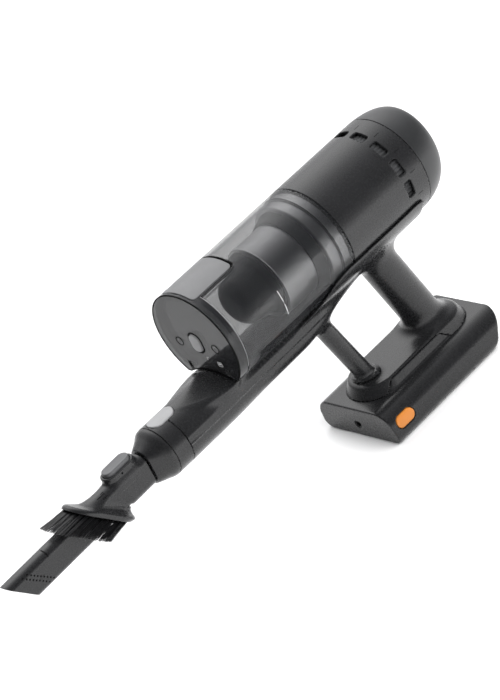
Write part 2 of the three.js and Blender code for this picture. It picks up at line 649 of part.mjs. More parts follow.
function batteryShell() {
  const { height } = BATTERY;
  const raised = lofted([footRing(height - 3), footRing(RAIL.top - 1, 0.15), footRing(RAIL.top, 1.2)])
    .intersect(block(RAIL.x, [-40, 40], [height - 4, FOOT.top]));
  const middleX = (BAY.x[0] + BAY.x[1]) / 2;
  const cavity = lofted([-1, BAY.top].map((z) =>
    ringAcrossZ(z, (BAY.x[1] - BAY.x[0]) / 2, BAY.halfWidth, 4, middleX)));
  return union([batteryBody(), raised])
    .subtract(cavity)
    .subtract(block([-10.5, 10.5], [-5.5, 5.5], [BAY.top - 1, FOOT.top]))
    .subtract(sideButton(GAP, BAY.halfWidth + 1, 60))
    .subtract(rodX(BAY.x[1] - 2, 80, SOCKET.radius + GAP, SOCKET.z, 16));
}


piece('battery_shell', batteryShell(), charcoal);
piece('battery_bottom', lofted([0, 2].map((z) => ringAcrossZ(
  z, (BAY.x[1] - BAY.x[0]) / 2 - 0.3, BAY.halfWidth - 0.3, 3.7, (BAY.x[0] + BAY.x[1]) / 2))), charcoal);
for (let i = 0; i < CELL.count; i++) {
  const x = (BAY.x[0] + BAY.x[1]) / 2 + (i - (CELL.count - 1) / 2) * CELL.pitch;
  const cell = rodY(-CELL.length / 2, CELL.length / 2, CELL.radius, x, 2.4 + CELL.radius, 18);
  piece(`cell_${i + 1}`, cell, cellWrap);
}
piece('battery_board', block([-40, 40], [-22, 22], [21.4, 23]), board);
piece('battery_terminals', block([-10, 10], [-5, 5], [23.4, RAIL.top - 0.6]), nearBlack);
piece('charge_socket', turned([
  [66, 0], [66, SOCKET.radius], [73, SOCKET.radius], [73, SOCKET.radius - 0.8],
  [68, SOCKET.radius - 0.8], [68, 0],
], SOCKET.z, 16), nearBlack);
piece('battery_button', sideButton(0, 42.2, 60).intersect(batteryBody(0.5)), orange);
piece('battery_latch', block([50, 61], [29, 36.4], [21.4, 24]), nearBlack);
const springY = [BAY.halfWidth + 1.1, BAY.halfWidth + 1.4];
piece('battery_button_spring', block([52, 62], springY, [BUTTON.z - 3, BUTTON.z + 3]), steel);

// ---- crevice tool ------------------------------------------------------------------------------

function toolConnector() {
  const rings = [
    [TUBE_FRONT_X + GAP, TUBE_Z, TUBE_R, TUBE_R, TUBE_R],
    [TUBE_FRONT_X + 3, TUBE_Z, 23.3, 23.5, 23.3],
    [264, TUBE_Z - 0.8, 18.3, 20.7, 18],
    [270, TUBE_Z - 1.4, 13.5, 17.9, 12],
    [CONE_FRONT_X, TUBE_Z - 1.5, 11, 16.5, 9],
  ];
  const cone = lofted(rings.map((ring) => ringAcrossX(...ring)));
  const neck = rodX(232, TUBE_FRONT_X + 2, TUBE_BORE - GAP, TUBE_Z, 28);
  const bore = union([
    rodX(231, 258, 14.6, TUBE_Z, 28),
    lofted([
      [257, TUBE_Z, 12, 12, 12], [265, TUBE_Z - 1.4, 7, 12.5, 6.5],
      [CONE_FRONT_X + 1, TUBE_Z - 2, 5.8, 12.1, 5],
    ].map((ring) => ringAcrossX(...ring))),
  ]);
  return union([cone, neck]).subtract(bore);
}

/** Tilts a piece of the tool, drawn level, down towards its tip. */
const tilted = (shape) => shape
  .translate([-TOOL_TILT.pivotX, 0, -TOOL_Z])
  .rotate([0, TOOL_TILT.degrees, 0])
  .translate([TOOL_TILT.pivotX, 0, TOOL_Z]);

/** A flat tube across X, from stations [x, half-thickness, half-height, corner radius, slant]. */
const flatTube = (stations, drop = 0) => lofted(stations.map(([x, t, h, r, slant]) =>
  ringAcrossX(x, TOOL_Z - drop, t, h, r, slant)));

function creviceNozzle() {
  const start = CONE_FRONT_X + GAP;
  const { t, h, r, wall, drop } = NOZZLE;
  const section = (inset) => [t - inset, h - inset, r - inset];
  const outer = [[start, 0], [388, 0], [TIP_X, TIP_SLANT]];
  const inner = [[start - 1, 0], [388, 0], [TIP_X + 2, TIP_SLANT]];
  return flatTube(outer.map(([x, slant]) => [x, ...section(0), slant]), drop)
    .subtract(flatTube(inner.map(([x, slant]) => [x, ...section(wall), slant]), drop));
}

function brushSleeve() {
  const { t, h, r } = SLEEVE;
  const outer = flatTube([
    [CONE_FRONT_X + 1.2, t, h, r, 0], [300, t, h, r, 0], [319, t + 0.2, h + 0.3, r, 1.03],
    [322, t + 1.6, h + 2, r + 1.6, 1], [324.3, t + 4.2, h + 5, r + 4, 0.93],
    [RIM_X - 5.5, t + 6.8, h + 8.7, r + 6.4, RIM_SLANT], [RIM_X, t + 7, h + 8.9, r + 6.6, RIM_SLANT],
  ]);
  const throat = flatTube([
    [CONE_FRONT_X, 7.8, 14.1, 6.7, 0], [300, 7.8, 14.1, 6.7, 0],
    [326, 8.6, 14.9, 7.5, RIM_SLANT], [RIM_X + 1, 8.6, 14.9, 7.5, RIM_SLANT],
  ], NOZZLE.drop);
  const well = flatTube([
    [RIM_X - 3, t + 5.1, h + 7, r + 4.9, RIM_SLANT], [RIM_X + 1, t + 5.1, h + 7, r + 4.9, RIM_SLANT],
  ]);
  const pedestal = stadiumX(KNOB.x[0] - 2.2, KNOB.x[1] + 2.2, KNOB.radius + 2.2, ...KNOB.pedestalZ);
  const pocket = stadiumX(KNOB.x[0] - GAP, KNOB.x[1] + GAP, KNOB.radius + GAP, KNOB.floor, AXIS_Z);
  return union([outer, pedestal]).subtract(throat).subtract(well).subtract(pocket);
}

const KNOB = {
  x: [281, 309], radius: 6.2, z: [TOOL_Z + 18.2, TOOL_Z + 23.4], floor: TOOL_Z + 16.1,
  pedestalZ: [TOOL_Z + 13.8, TOOL_Z + 19.8],
};

function bristleRing() {
  const { t, h, r } = SLEEVE;
  const outer = flatTube([
    [RIM_X - 2.6, t + 4.7, h + 6.6, r + 4.5, RIM_SLANT], [BRISTLE.tipX, t + 7, h + 8.7, r + 7, BRISTLE.slant],
  ]);
  const inner = flatTube([
    [RIM_X - 3.6, 9, 15.6, 7.6, RIM_SLANT], [BRISTLE.tipX + 1, 9.4, 16.4, 8, BRISTLE.slant],
  ], NOZZLE.drop);
  return outer.subtract(inner);
}

piece('tool_connector', toolConnector(), charcoal);
piece('crevice_nozzle', tilted(creviceNozzle()), charcoal);
piece('brush_sleeve', tilted(brushSleeve()), charcoal);
piece('brush_bristles', tilted(bristleRing()), nearBlack);
piece('sleeve_button', tilted(stadiumX(...KNOB.x, KNOB.radius, ...KNOB.z)), slate);
const buttonSpring = stadiumX(288, 302, 2.5, KNOB.floor + 0.1, KNOB.floor + 0.4);
piece('sleeve_button_spring', tilted(buttonSpring), steel);

export default group;
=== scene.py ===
"""Looks of the handheld vacuum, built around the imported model.

Shapes are in millimetres until they become meshes. X runs forward along the tube, Y to the left, Z up.
"""
import functools
import json
import math
import random

import bmesh
import bpy
import numpy as np
from mathutils import Matrix, Vector


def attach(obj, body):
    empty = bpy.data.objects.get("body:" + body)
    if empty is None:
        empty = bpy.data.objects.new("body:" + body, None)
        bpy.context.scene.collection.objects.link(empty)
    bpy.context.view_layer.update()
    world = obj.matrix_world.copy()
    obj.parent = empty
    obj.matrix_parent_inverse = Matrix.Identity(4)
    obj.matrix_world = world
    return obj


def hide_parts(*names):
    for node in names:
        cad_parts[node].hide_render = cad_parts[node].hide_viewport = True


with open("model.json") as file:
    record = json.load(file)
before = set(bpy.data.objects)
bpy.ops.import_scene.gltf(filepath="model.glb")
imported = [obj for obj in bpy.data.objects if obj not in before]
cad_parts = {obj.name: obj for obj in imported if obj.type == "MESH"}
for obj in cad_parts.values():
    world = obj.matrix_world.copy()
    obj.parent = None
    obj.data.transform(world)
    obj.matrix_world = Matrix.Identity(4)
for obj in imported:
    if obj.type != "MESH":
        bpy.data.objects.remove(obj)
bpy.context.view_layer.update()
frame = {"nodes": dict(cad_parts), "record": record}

MM = 0.001

# ---- driving dimensions, in millimetres ----

AXIS_Z = 187.0
BODY_R = 47.5
GAP = 0.35
LID_FRONT_X = 178.0
LID_SEAM_X = 167.4
BIN_REAR_X = 33.5
CAP_SEAM_X = -66.2
CAP_REAR_X = -94.9
CAP_LEAN = 0.11
SADDLE_R = 67.0
SADDLE_TOP_Z = AXIS_Z - 29.7
SADDLE_PLAY = 1.4
TUBE_Z = AXIS_Z - 53
TUBE_R = 23.9
TUBE_BORE = 17.0
COLLAR_SEAM_X = 239.2
TUBE_FRONT_X = 254.8
HINGE = {"x": 175.4, "z": SADDLE_TOP_Z + 2.2, "knuckle": 8.1, "lip": 8.9, "socket": 9.1,
         "arm": (23.5, 1.5)}
RELEASE = {"x": (226.6, 253.0), "radius": 8.1, "floor": TUBE_Z + 18.8}

CRADLE_R = 48.0
RAIL_R = 49.8
HANDLE = {"top": (-11.4, AXIS_Z - 49), "bottom": (-38.4, AXIS_Z - 149.5), "radius": 17.9, "level": (92, 56)}
STRUT = {"top": (66.1, AXIS_Z - 65.4), "bottom": (41.8, AXIS_Z - 149.5), "radius": 8.7, "level": (78, 42)}
STRUT_COLLAR = {"reach": 4.6, "wave": 0.55, "pitch": 2.1, "taper": 0.35, "height": 5.2}
HOOD_REAR_X = 66
BORE_REAR_X = 92
PORT = {"x": 103, "half": 9, "corner": 2}
FOOT = {"x": (-64.6, 59.6), "radius": 24.5, "top": 43.4, "spread": 3.2, "end_spread": 3.0}
FOOT_RAIL = {"x": (-24.5, 39.5), "top": 41.2}
BATTERY = {"height": 32.5, "low_half": 48.7, "top_half": 44.0, "front": (72.8, 75.0), "rear": (60.8, 80.7),
           "top_edge": 15, "low_edge": 9.9}
BAY = {"x": (-56.0, 68.0), "half": 38.6, "top": 26.6}
SIDE_BUTTON = {"x": 57.0, "z": 17.4, "half": (10.8, 5.6)}
SOCKET = {"z": 13.6, "radius": 3.6}

TOOL_Z = TUBE_Z - 2.2
TOOL_TILT = math.radians(1.3)
TOOL_PIVOT_X = 302.0
CONE_FRONT_X = 273.0
SLEEVE = (9.5, 15.3, 8.4)
NOZZLE = (7.4, 13.7, 6.3)
NOZZLE_DROP = 0.5
TIP_X = 421.4
TIP_SLANT = 0.85
RIM_X = 332.0
RIM_SLANT = 0.865
BRISTLE = {"tip_x": 356.7, "slant": 0.88}
KNOB = {"x": (281.0, 309.0), "radius": 6.2, "low": TOOL_Z + 18.2, "top": TOOL_Z + 23.4}
PEDESTAL_TOP = TOOL_Z + 19.8

# ---- materials ----


def material(name):
    made = bpy.data.materials.new(name)
    made.use_nodes = True
    nodes, links = made.node_tree.nodes, made.node_tree.links
    return made, nodes, links, nodes["Principled BSDF"]


def noise(nodes, links, scale, detail=3.0):
    """A noise texture in object space; scale is its number of lumps per metre."""
    place = nodes.new("ShaderNodeTexCoord")
    texture = nodes.new("ShaderNodeTexNoise")
    texture.inputs["Scale"].default_value = scale
    texture.inputs["Detail"].default_value = detail
    links.new(place.outputs["Object"], texture.inputs["Vector"])
    return texture.outputs["Fac"]


def ranged(nodes, links, value, before, after):
    """Maps a value from one range to another."""
    ramp = nodes.new("ShaderNodeMapRange")
    for name, number in zip(("From Min", "From Max", "To Min", "To Max"), before + after):
        ramp.inputs[name].default_value = number
    links.new(value, ramp.inputs["Value"])
    return ramp.outputs["Result"]


def cloudy(nodes, links, scale, low=0, high=1):
    """Noise, which lies mostly between 0.3 and 0.7, mapped to low...high."""
    return ranged(nodes, links, noise(nodes, links, scale), (0.3, 0.7), (low, high))


def tint(nodes, links, value, colour, change):
    """A colour that the value darkens and lightens by the given share."""
    mix = nodes.new("ShaderNodeMix")
    mix.data_type = "RGBA"
    mix.inputs["A"].default_value = [c * (1 - change) for c in colour] + [1]
    mix.inputs["B"].default_value = [c * (1 + change) for c in colour] + [1]
    links.new(value, mix.inputs["Factor"])
    return mix.outputs["Result"]


def bumped(nodes, links, shader, value, depth_mm):
    bump = nodes.new("ShaderNodeBump")
    bump.inputs["Strength"].default_value = 0.5
    bump.inputs["Distance"].default_value = depth_mm * MM
    links.new(value, bump.inputs["Height"])
    links.new(bump.outputs["Normal"], shader.inputs["Normal"])


def textured(name, colour, change, cloud, gloss):
    """A material with a cloudy colour and an uneven gloss, given as (scale, low, high)."""
    made, nodes, links, shader = material(name)
    links.new(tint(nodes, links, cloudy(nodes, links, cloud), colour, change), shader.inputs["Base Color"])
    links.new(cloudy(nodes, links, *gloss), shader.inputs["Roughness"])
    return made, nodes, links, shader


def moulded(name, colour, rough, grain=1400, depth=0.02, change=0.08, specular=0.5):
    """Moulded plastic with a fine spark-eroded grain."""
    gloss = (380, rough * 0.93, rough * 1.07)
    made, nodes, links, shader = textured(name, colour, change, 45, gloss)
    bumped(nodes, links, shader, noise(nodes, links, grain, 2), depth)
    shader.inputs["Specular IOR Level"].default_value = specular
    return made


def clear_plastic(name, colour, low, high, ior=1.7):
    """Smoky clear plastic: its opacity grows from low, seen square on, to high, seen edge on."""
    rough, steepness = 0.06, 3.0
    made, nodes, links, shader = textured(name, colour, 0.05, 30, (200, rough * 0.8, rough * 1.2))
    shader.inputs["IOR"].default_value = ior
    weight = nodes.new("ShaderNodeLayerWeight")
    weight.inputs["Blend"].default_value = 0.35
    power = nodes.new("ShaderNodeMath")
    power.operation = "POWER"
    power.inputs[1].default_value = steepness
    links.new(weight.outputs["Facing"], power.inputs[0])
    opacity = ranged(nodes, links, power.outputs["Value"], (0, 1), (low, high))
    links.new(opacity, shader.inputs["Alpha"])
    return made


def metal(name, colour, rough, streak=900):
    gloss = (500, rough * 0.8, rough * 1.25)
    made, nodes, links, shader = textured(name, colour, 0.1, streak, gloss)
    bumped(nodes, links, shader, noise(nodes, links, 2500, 1), 0.01)
    shader.inputs["Metallic"].default_value = 1.0
    return made


charcoal = moulded("charcoal plastic", (0.0125, 0.0127, 0.0135), 0.27, specular=0.42)
slate = moulded("slate plastic", (0.019, 0.0195, 0.0205), 0.33, specular=0.45)
panel_grey = moulded("panel plastic", (0.115, 0.116, 0.119), 0.4)
knob_grey = moulded("knob plastic", (0.075, 0.076, 0.079), 0.4)
light_grey = moulded("light grey plastic", (0.27, 0.271, 0.276), 0.45)
orange = moulded("orange plastic", (0.55, 0.19, 0.03), 0.42)
black = moulded("black plastic", (0.007, 0.007, 0.0075), 0.45, specular=0.35)
# Near-black for seams, holes and fine dark lines, and also for painted shade: the gaps round the latch panel
# and the lid button, the vent creases and the lid's front edge.
seam_and_shade_black = moulded("seam and shade black", (0.003, 0.003, 0.003), 0.8, specular=0.1)
window = moulded("display window", (0.008, 0.008, 0.01), 0.12)
smoky = clear_plastic("smoky clear plastic", (0.024, 0.025, 0.027), 0.36, 0.95)
smoky_lid = clear_plastic("smoky clear lid plastic", (0.016, 0.0165, 0.018), 0.8, 0.96, ior=1.42)
# Light grey that paints the highlight on the edges of the clear plastic.
clear_edge_highlight = moulded("clear plastic edge highlight", (0.24, 0.242, 0.247), 0.3)
rubber = moulded("seal rubber", (0.008, 0.008, 0.008), 0.75, grain=900, depth=0.04)
foam = moulded("filter foam", (0.05, 0.051, 0.053), 0.95, grain=700, depth=0.4, change=0.4)
bristle = moulded("nylon bristle", (0.010, 0.010, 0.011), 0.38, grain=2500)
board_green = moulded("solder mask", (0.01, 0.09, 0.035), 0.3)
wrap = moulded("cell wrap", (0.03, 0.14, 0.3), 0.3)
# Pale print for signs and marks, also used for the painted highlight on the drum's rim.
pale_print_and_highlight = moulded("pale print and highlight", (0.7, 0.7, 0.71), 0.5)
steel = metal("steel", (0.55, 0.56, 0.57), 0.3)
satin = metal("satin cyclone skin", (0.62, 0.622, 0.63), 0.36)
copper = metal("copper winding", (0.62, 0.27, 0.12), 0.35, streak=3000)

# ---- mesh making ----


def placed(name, data):
    made = bpy.data.objects.new(name, data)
    bpy.context.scene.collection.objects.link(made)
    return made


def piece(name, body, mesh, look, replaces=()):
    """Adds a mesh to the scene as a piece that rides on a body and stands for CAD nodes."""
    mesh.materials.append(look)
    made = placed(name, mesh)
    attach(made, body)
    if replaces:
        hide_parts(*replaces)
    return made


def joined(name, parts, sharp_degrees):
    """One mesh in metres from (points, faces) parts in millimetres, smooth apart from its sharp edges."""
    points, faces = [], []
    for more_points, more_faces in parts:
        faces += [[i + len(points) for i in face] for face in more_faces]
        points += list(more_points)
    mesh = bpy.data.meshes.new(name)
    mesh.from_pydata([tuple(c * MM for c in p) for p in points], [], faces)
    tidy = bmesh.new()
    tidy.from_mesh(mesh)
    bmesh.ops.recalc_face_normals(tidy, faces=tidy.faces)
    tidy.to_mesh(mesh)
    tidy.free()
    mesh.shade_smooth()
    mesh.set_sharp_from_angle(angle=math.radians(sharp_degrees))
    return mesh


def woven(rows):
    """Points and faces of a net in which each row is a loop, and the last row meets the first."""
    n, count = len(rows[0]), len(rows)
    faces = []
    for row in range(count):
        a, b = row * n, (row + 1) % count * n
        faces += [[a + i, a + (i + 1) % n, b + (i + 1) % n, b + i] for i in range(n)]
    return [p for row in rows for p in row], faces


def revolved(profile, z=AXIS_Z, count=160, shift=None):
    """Points and faces of a closed outline of (x, radius) turned about an axis along X."""
    rows = []
    for i in range(count):
        angle = 2 * math.pi * i / count
        row = [(x, r * math.sin(angle), z + r * math.cos(angle)) for x, r in profile]
        rows.append([shift(p) for p in row] if shift else row)
    points, faces = woven(rows)
    n = len(profile)
    on_axis = [r == 0 for _, r in profile]
    return points, [face for face in faces if not (on_axis[face[0] % n] and on_axis[face[1] % n])]


def lofted(rings):
    """Points and faces through closed rings of points, with its two ends closed."""
    points, faces = woven(rings)
    n = len(rings[0])
    ends = [list(range(n))[::-1], [len(points) - n + i for i in range(n)]]
    return points, faces[:-n] + ends


def rounded_outline(half_a, half_b, r, steps=8):
    points = []
    for quarter, (sa, sb) in enumerate([(1, 1), (-1, 1), (-1, -1), (1, -1)]):
        for i in range(steps + 1):
            angle = (quarter + i / steps) * math.pi / 2
            across, up = r * math.cos(angle), r * math.sin(angle)
            points.append((sa * (half_a - r) + across, sb * (half_b - r) + up))
    return points


def cushion_rings(half_a, half_b, r, low, high, edge, place, crown=0.0):
    """Rings of a button: straight sides, a rounded edge, and a top raised or dished by crown."""
    rings = [[place(a, b, low) for a, b in rounded_outline(half_a, half_b, r)]]
    for i in range(5):
        angle = i / 4 * math.pi / 2
        inset = edge * (1 - math.cos(angle))
        level = high - edge * (1 - math.sin(angle))
        outline = rounded_outline(half_a - inset, half_b - inset, max(r - inset, 0.3))
        rings.append([place(a, b, level) for a, b in outline])
    for share in (0.8, 0.55, 0.3, 0.1):
        corner = max((r - edge) * share, 0.1)
        outline = rounded_outline((half_a - edge) * share, (half_b - edge) * share, corner)
        rings.append([place(a, b, high + crown * (1 - share ** 2)) for a, b in outline])
    return rings


def curved_plate(x0, x1, from_degrees, to_degrees, low, high, z=AXIS_Z):
    """A thin plate wrapped round an axis along X, between two radii."""
    steps = max(2, round(abs(to_degrees - from_degrees) / 3))
    rings = []
    for i in range(steps + 1):
        angle = math.radians(from_degrees + (to_degrees - from_degrees) * i / steps)
        s, c = math.sin(angle), math.cos(angle)
        rings.append([(x, r * s, z + r * c) for x, r in ((x0, low), (x1, low), (x1, high), (x0, high))])
    return lofted(rings)


# ---- solid shapes as signed distance fields ----


def blend_min(a, b, k):
    """The nearer of two distances, with a fillet k wide where they meet."""
    h = np.maximum(k - np.abs(a - b), 0) / k
    return np.minimum(a, b) - h * h * k / 4


def blend_max(a, b, k):
    return -blend_min(-a, -b, k)


def round_max(a, b, r):
    """The overlap of two shapes, its edge rounded to radius r."""
    corner = np.hypot(np.maximum(a + r, 0), np.maximum(b + r, 0))
    return np.minimum(np.maximum(a, b), -r) + corner


def rounded_rect(a, b, half_a, half_b, r):
    da, db = np.abs(a) - half_a + r, np.abs(b) - half_b + r
    return np.hypot(np.maximum(da, 0), np.maximum(db, 0)) + np.minimum(np.maximum(da, db), 0) - r


def stadium(x, y, x0, x1, r):
    return np.hypot(x - np.clip(x, x0 + r, x1 - r), y) - r


def smooth_curve(stations, column, x):
    """A smooth curve through stations of (x, value, ...), read at x."""
    xs = np.array([s[0] for s in stations], float)
    values = np.array([s[column] for s in stations], float)
    slopes = np.gradient(values, xs)
    i = np.clip(np.searchsorted(xs, x) - 1, 0, len(xs) - 2)
    width = xs[i + 1] - xs[i]
    t = np.clip((x - xs[i]) / width, 0, 1)
    a, b = values[i], values[i + 1]
    leaving, arriving = slopes[i] * width - (b - a), slopes[i + 1] * width - (b - a)
    swing = t * (1 - t) * ((1 - t) * leaving - t * arriving)
    return a + (b - a) * t + swing


def slope_of(field, points, h=0.05):
    shifts = np.eye(3) * h
    ends = [field(*(points + s).T) - field(*(points - s).T) for s in shifts]
    return np.stack(ends, 1) / (2 * h)


def surface(name, field, low, high, step):
    """The mesh of a field's zero level: quads pulled on to the level, with the field's own normals."""
    low = np.array(low, float)
    axes = [np.arange(a, b + step, step) for a, b in zip(low, high)]
    x, y, z = axes[0][:, None, None], axes[1][None, :, None], axes[2][None, None, :]
    inside = np.broadcast_to(field(x, y, z), [len(a) for a in axes]) < 0
    nx, ny, nz = (n - 1 for n in inside.shape)
    corners = sum(inside[i:nx + i, j:ny + j, k:nz + k].astype(np.int8)
                  for i in (0, 1) for j in (0, 1) for k in (0, 1))
    mixed = (corners > 0) & (corners < 8)
    number = np.full(mixed.shape, -1, np.int64)
    number[mixed] = np.arange(mixed.sum())
    middle = low + (np.argwhere(mixed) + 0.5) * step
    points = middle.copy()
    for _ in range(6):
        slope = slope_of(field, points)
        length = np.maximum((slope ** 2).sum(1), 0.05)
        move = -slope * (field(*points.T) / length)[:, None]
        points += np.clip(move, -0.5 * step, 0.5 * step)
        points = np.clip(points, middle - 0.75 * step, middle + 0.75 * step)
    quads = []
    for a in range(3):
        b, c = (a + 1) % 3, (a + 2) % 3
        ahead = np.roll(inside, -1, a)
        crossing = inside != ahead
        edges = np.argwhere(crossing)
        limits = np.array(mixed.shape)
        keep = (edges[:, a] < limits[a]) & (edges[:, b] > 0) & (edges[:, c] > 0)
        keep &= (edges[:, b] < limits[b]) & (edges[:, c] < limits[c])
        edges = edges[keep]
        flip = ~inside[tuple(edges.T)]
        ring = []
        for db, dc in ((-1, -1), (0, -1), (0, 0), (-1, 0)):
            cell = edges.copy()
            cell[:, b] += db
            cell[:, c] += dc
            ring.append(number[tuple(cell.T)])
        ring = np.stack(ring, 1)
        ring[flip] = ring[flip][:, ::-1]
        quads.append(ring)
    quads = np.concatenate(quads)
    mesh = bpy.data.meshes.new(name)
    mesh.from_pydata((points * MM).tolist(), [], quads.tolist())
    mesh.shade_smooth()
    slope = slope_of(field, points)
    normals = slope / np.maximum(np.linalg.norm(slope, axis=1), 1e-6)[:, None]
    mesh.normals_split_custom_set_from_vertices(normals.tolist())
    return mesh


FINE = 1.0


def carved(name, body, field, low, high, step, look, replaces=()):
    """A piece whose mesh is a field's surface between two corners."""
    return piece(name, body, surface(name, field, low, high, step * FINE), look, replaces)


def assembled(name, body, parts, look, replaces=(), sharp_degrees=35):
    """A piece made of (points, faces) parts."""
    return piece(name, body, joined(name, parts, sharp_degrees), look, replaces)


def overlap(*gaps):
    """What all the shapes share."""
    return functools.reduce(np.maximum, gaps)


def slab(value, middle, half):
    """Distance from the two faces of a slab."""
    return np.abs(value - middle) - half


def from_axis(y, z):
    return np.hypot(y, z - AXIS_Z)


def from_tube_axis(y, z):
    return np.hypot(y, z - TUBE_Z)


def cylinder_gap(y, z, r):
    return from_axis(y, z) - r


def saddle_gap(y, z, offset):
    """Distance from the round hollow under the bin."""
    return np.hypot(y, z - (SADDLE_TOP_Z - SADDLE_R)) - (SADDLE_R + offset)


# ---- frame: cradle, spine, tube, handle, strut and foot ----

# x, drop of the spine's axis below the main axis, spine radius, rail edge's angle from the top,
# half-width of the shoulder
SPINE = [
    (-57, 36.5, 12.8, 118, 0), (-50, 38.6, 14.2, 115.5, 0), (-30, 40, 16, 115, 0), (-12, 40.4, 16.6, 115, 0),
    (25, 43.2, 17.5, 115, 0), (48, 46, 19, 115.5, 0), (60, 48.6, 19.8, 119, 0), (74, 51.6, 20.6, 131, 24),
    (88, 53, 21.2, 143, 22), (112, 53, 21.8, 178, 17), (150, 53, 22.4, 180, 17), (166, 53, 23, 180, 22),
    (177, 53, 23.4, 180, 28), (186, 53, 23.6, 180, 27.6), (198, 53, 23.7, 180, 24), (214, 53, 23.8, 180, 17),
    (228, 53, 23.9, 180, 8), (239, 53, 23.9, 180, 0),
]
SPINE_REAR_X = -57.5


def pillar_gap(x, y, z, pillar):
    """Distance from an endless leaning pillar that is round when cut level."""
    (tx, tz), (bx, bz) = pillar["top"], pillar["bottom"]
    lean = (tx - bx) / (tz - bz)
    centre = bx + (z - bz) * lean
    return (np.hypot(x - centre, y) - pillar["radius"]) / math.hypot(1, lean)


def foot_flank(x, y, z):
    down = (FOOT["top"] - z) / (FOOT["top"] - BATTERY["height"])
    x0, x1 = FOOT["x"]
    r = FOOT["radius"]
    past = np.abs(x - np.clip(x, x0 + r, x1 - r)) / r
    spread = down * (FOOT["spread"] + FOOT["end_spread"] * np.clip(past, 0, 1))
    return (stadium(x, y, x0, x1, r) - spread) * 0.95


def foot_rail(x, z, grow):
    """The battery's raised middle under the foot's plate; its ends slope."""
    x0, x1 = FOOT_RAIL["x"]
    slope = FOOT_RAIL["top"] - z
    ends = np.maximum(x0 - slope - x, x - x1 - slope) / math.sqrt(2)
    return np.maximum(ends, z - FOOT_RAIL["top"]) - grow


def release_area(x, y):
    return stadium(x, y, *RELEASE["x"], RELEASE["radius"])


def release_pocket(x, y, z):
    inside = release_area(x, y) - 0.3
    return np.maximum(inside, RELEASE["floor"] - z)


def frame_field(x, y, z):
    drop, radius = smooth_curve(SPINE, 1, x), smooth_curve(SPINE, 2, x)
    edge, shoulder = np.radians(smooth_curve(SPINE, 3, x)), np.maximum(smooth_curve(SPINE, 4, x), 0)
    belly = np.hypot(y, z - AXIS_Z + drop) - radius
    cradle = round_max(cylinder_gap(y, z, RAIL_R), z - AXIS_Z - RAIL_R * np.cos(edge), 0.6)
    spine = blend_min(belly, cradle, 9)
    top = SADDLE_TOP_Z - SADDLE_PLAY - SADDLE_R + np.sqrt(SADDLE_R ** 2 - shoulder ** 2)
    rise = np.clip((z - TUBE_Z) / (top - TUBE_Z), 0, 1)
    flank = np.abs(y) - radius - (shoulder - radius) * rise
    hood = round_max(saddle_gap(y, z, -SADDLE_PLAY), flank, 4)
    hood = overlap(hood, TUBE_Z - z, HOOD_REAR_X - x)
    body = blend_min(spine, hood, 3)
    body = round_max(body, SPINE_REAR_X - x, 5)
    handle = np.maximum(pillar_gap(x, y, z, HANDLE), slab(z, *HANDLE["level"]))
    strut = np.maximum(pillar_gap(x, y, z, STRUT), slab(z, *STRUT["level"]))
    plinth = round_max(foot_flank(x, y, z), z - FOOT["top"], 1.8)
    body = blend_min(body, handle, 12)
    body = blend_min(body, strut, 10)
    foot = blend_min(plinth, handle, 17)
    foot = blend_min(foot, strut, 9)
    above = z - FOOT["top"]
    wave = STRUT_COLLAR["wave"] * np.cos(above * 2 * math.pi / STRUT_COLLAR["pitch"])
    ridge = pillar_gap(x, y, z, STRUT) - STRUT_COLLAR["reach"] - wave
    ridge = ridge + np.maximum(above, 0) * STRUT_COLLAR["taper"]
    foot = np.minimum(foot, np.maximum(ridge, above - STRUT_COLLAR["height"]))
    foot = np.maximum(foot, BATTERY["height"] + 0.15 - z)
    foot = np.maximum(foot, -foot_rail(x, z, GAP))
    # foot and body overlap between z = 70 and 90, where both have only the plain pillars
    whole = np.minimum(np.where(z < 90, foot, np.inf), np.where(z > 70, body, np.inf))
    space = np.where(x < BIN_REAR_X, cylinder_gap(y, z, CRADLE_R),
                     np.maximum(cylinder_gap(y, z, CRADLE_R), -saddle_gap(y, z, -SADDLE_PLAY)))
    space = np.maximum(space, x - LID_FRONT_X - 1.5)
    whole = blend_max(whole, -space, 0.8)
    bore = np.maximum(from_tube_axis(y, z) - TUBE_BORE, BORE_REAR_X - x)
    port = rounded_rect(x - PORT["x"], y, PORT["half"], PORT["half"], PORT["corner"])
    port = np.maximum(port, TUBE_Z - z)
    whole = np.maximum(whole, -np.minimum(bore, port))
    whole = np.maximum(whole, -release_pocket(x, y, z))
    return np.maximum(whole, x - COLLAR_SEAM_X + GAP)


carved("frame_moulding", "frame", frame_field, (-72, -46, 31), (241, 46, 170), 1.25,
       charcoal, ["main_frame"])

# ---- battery ----


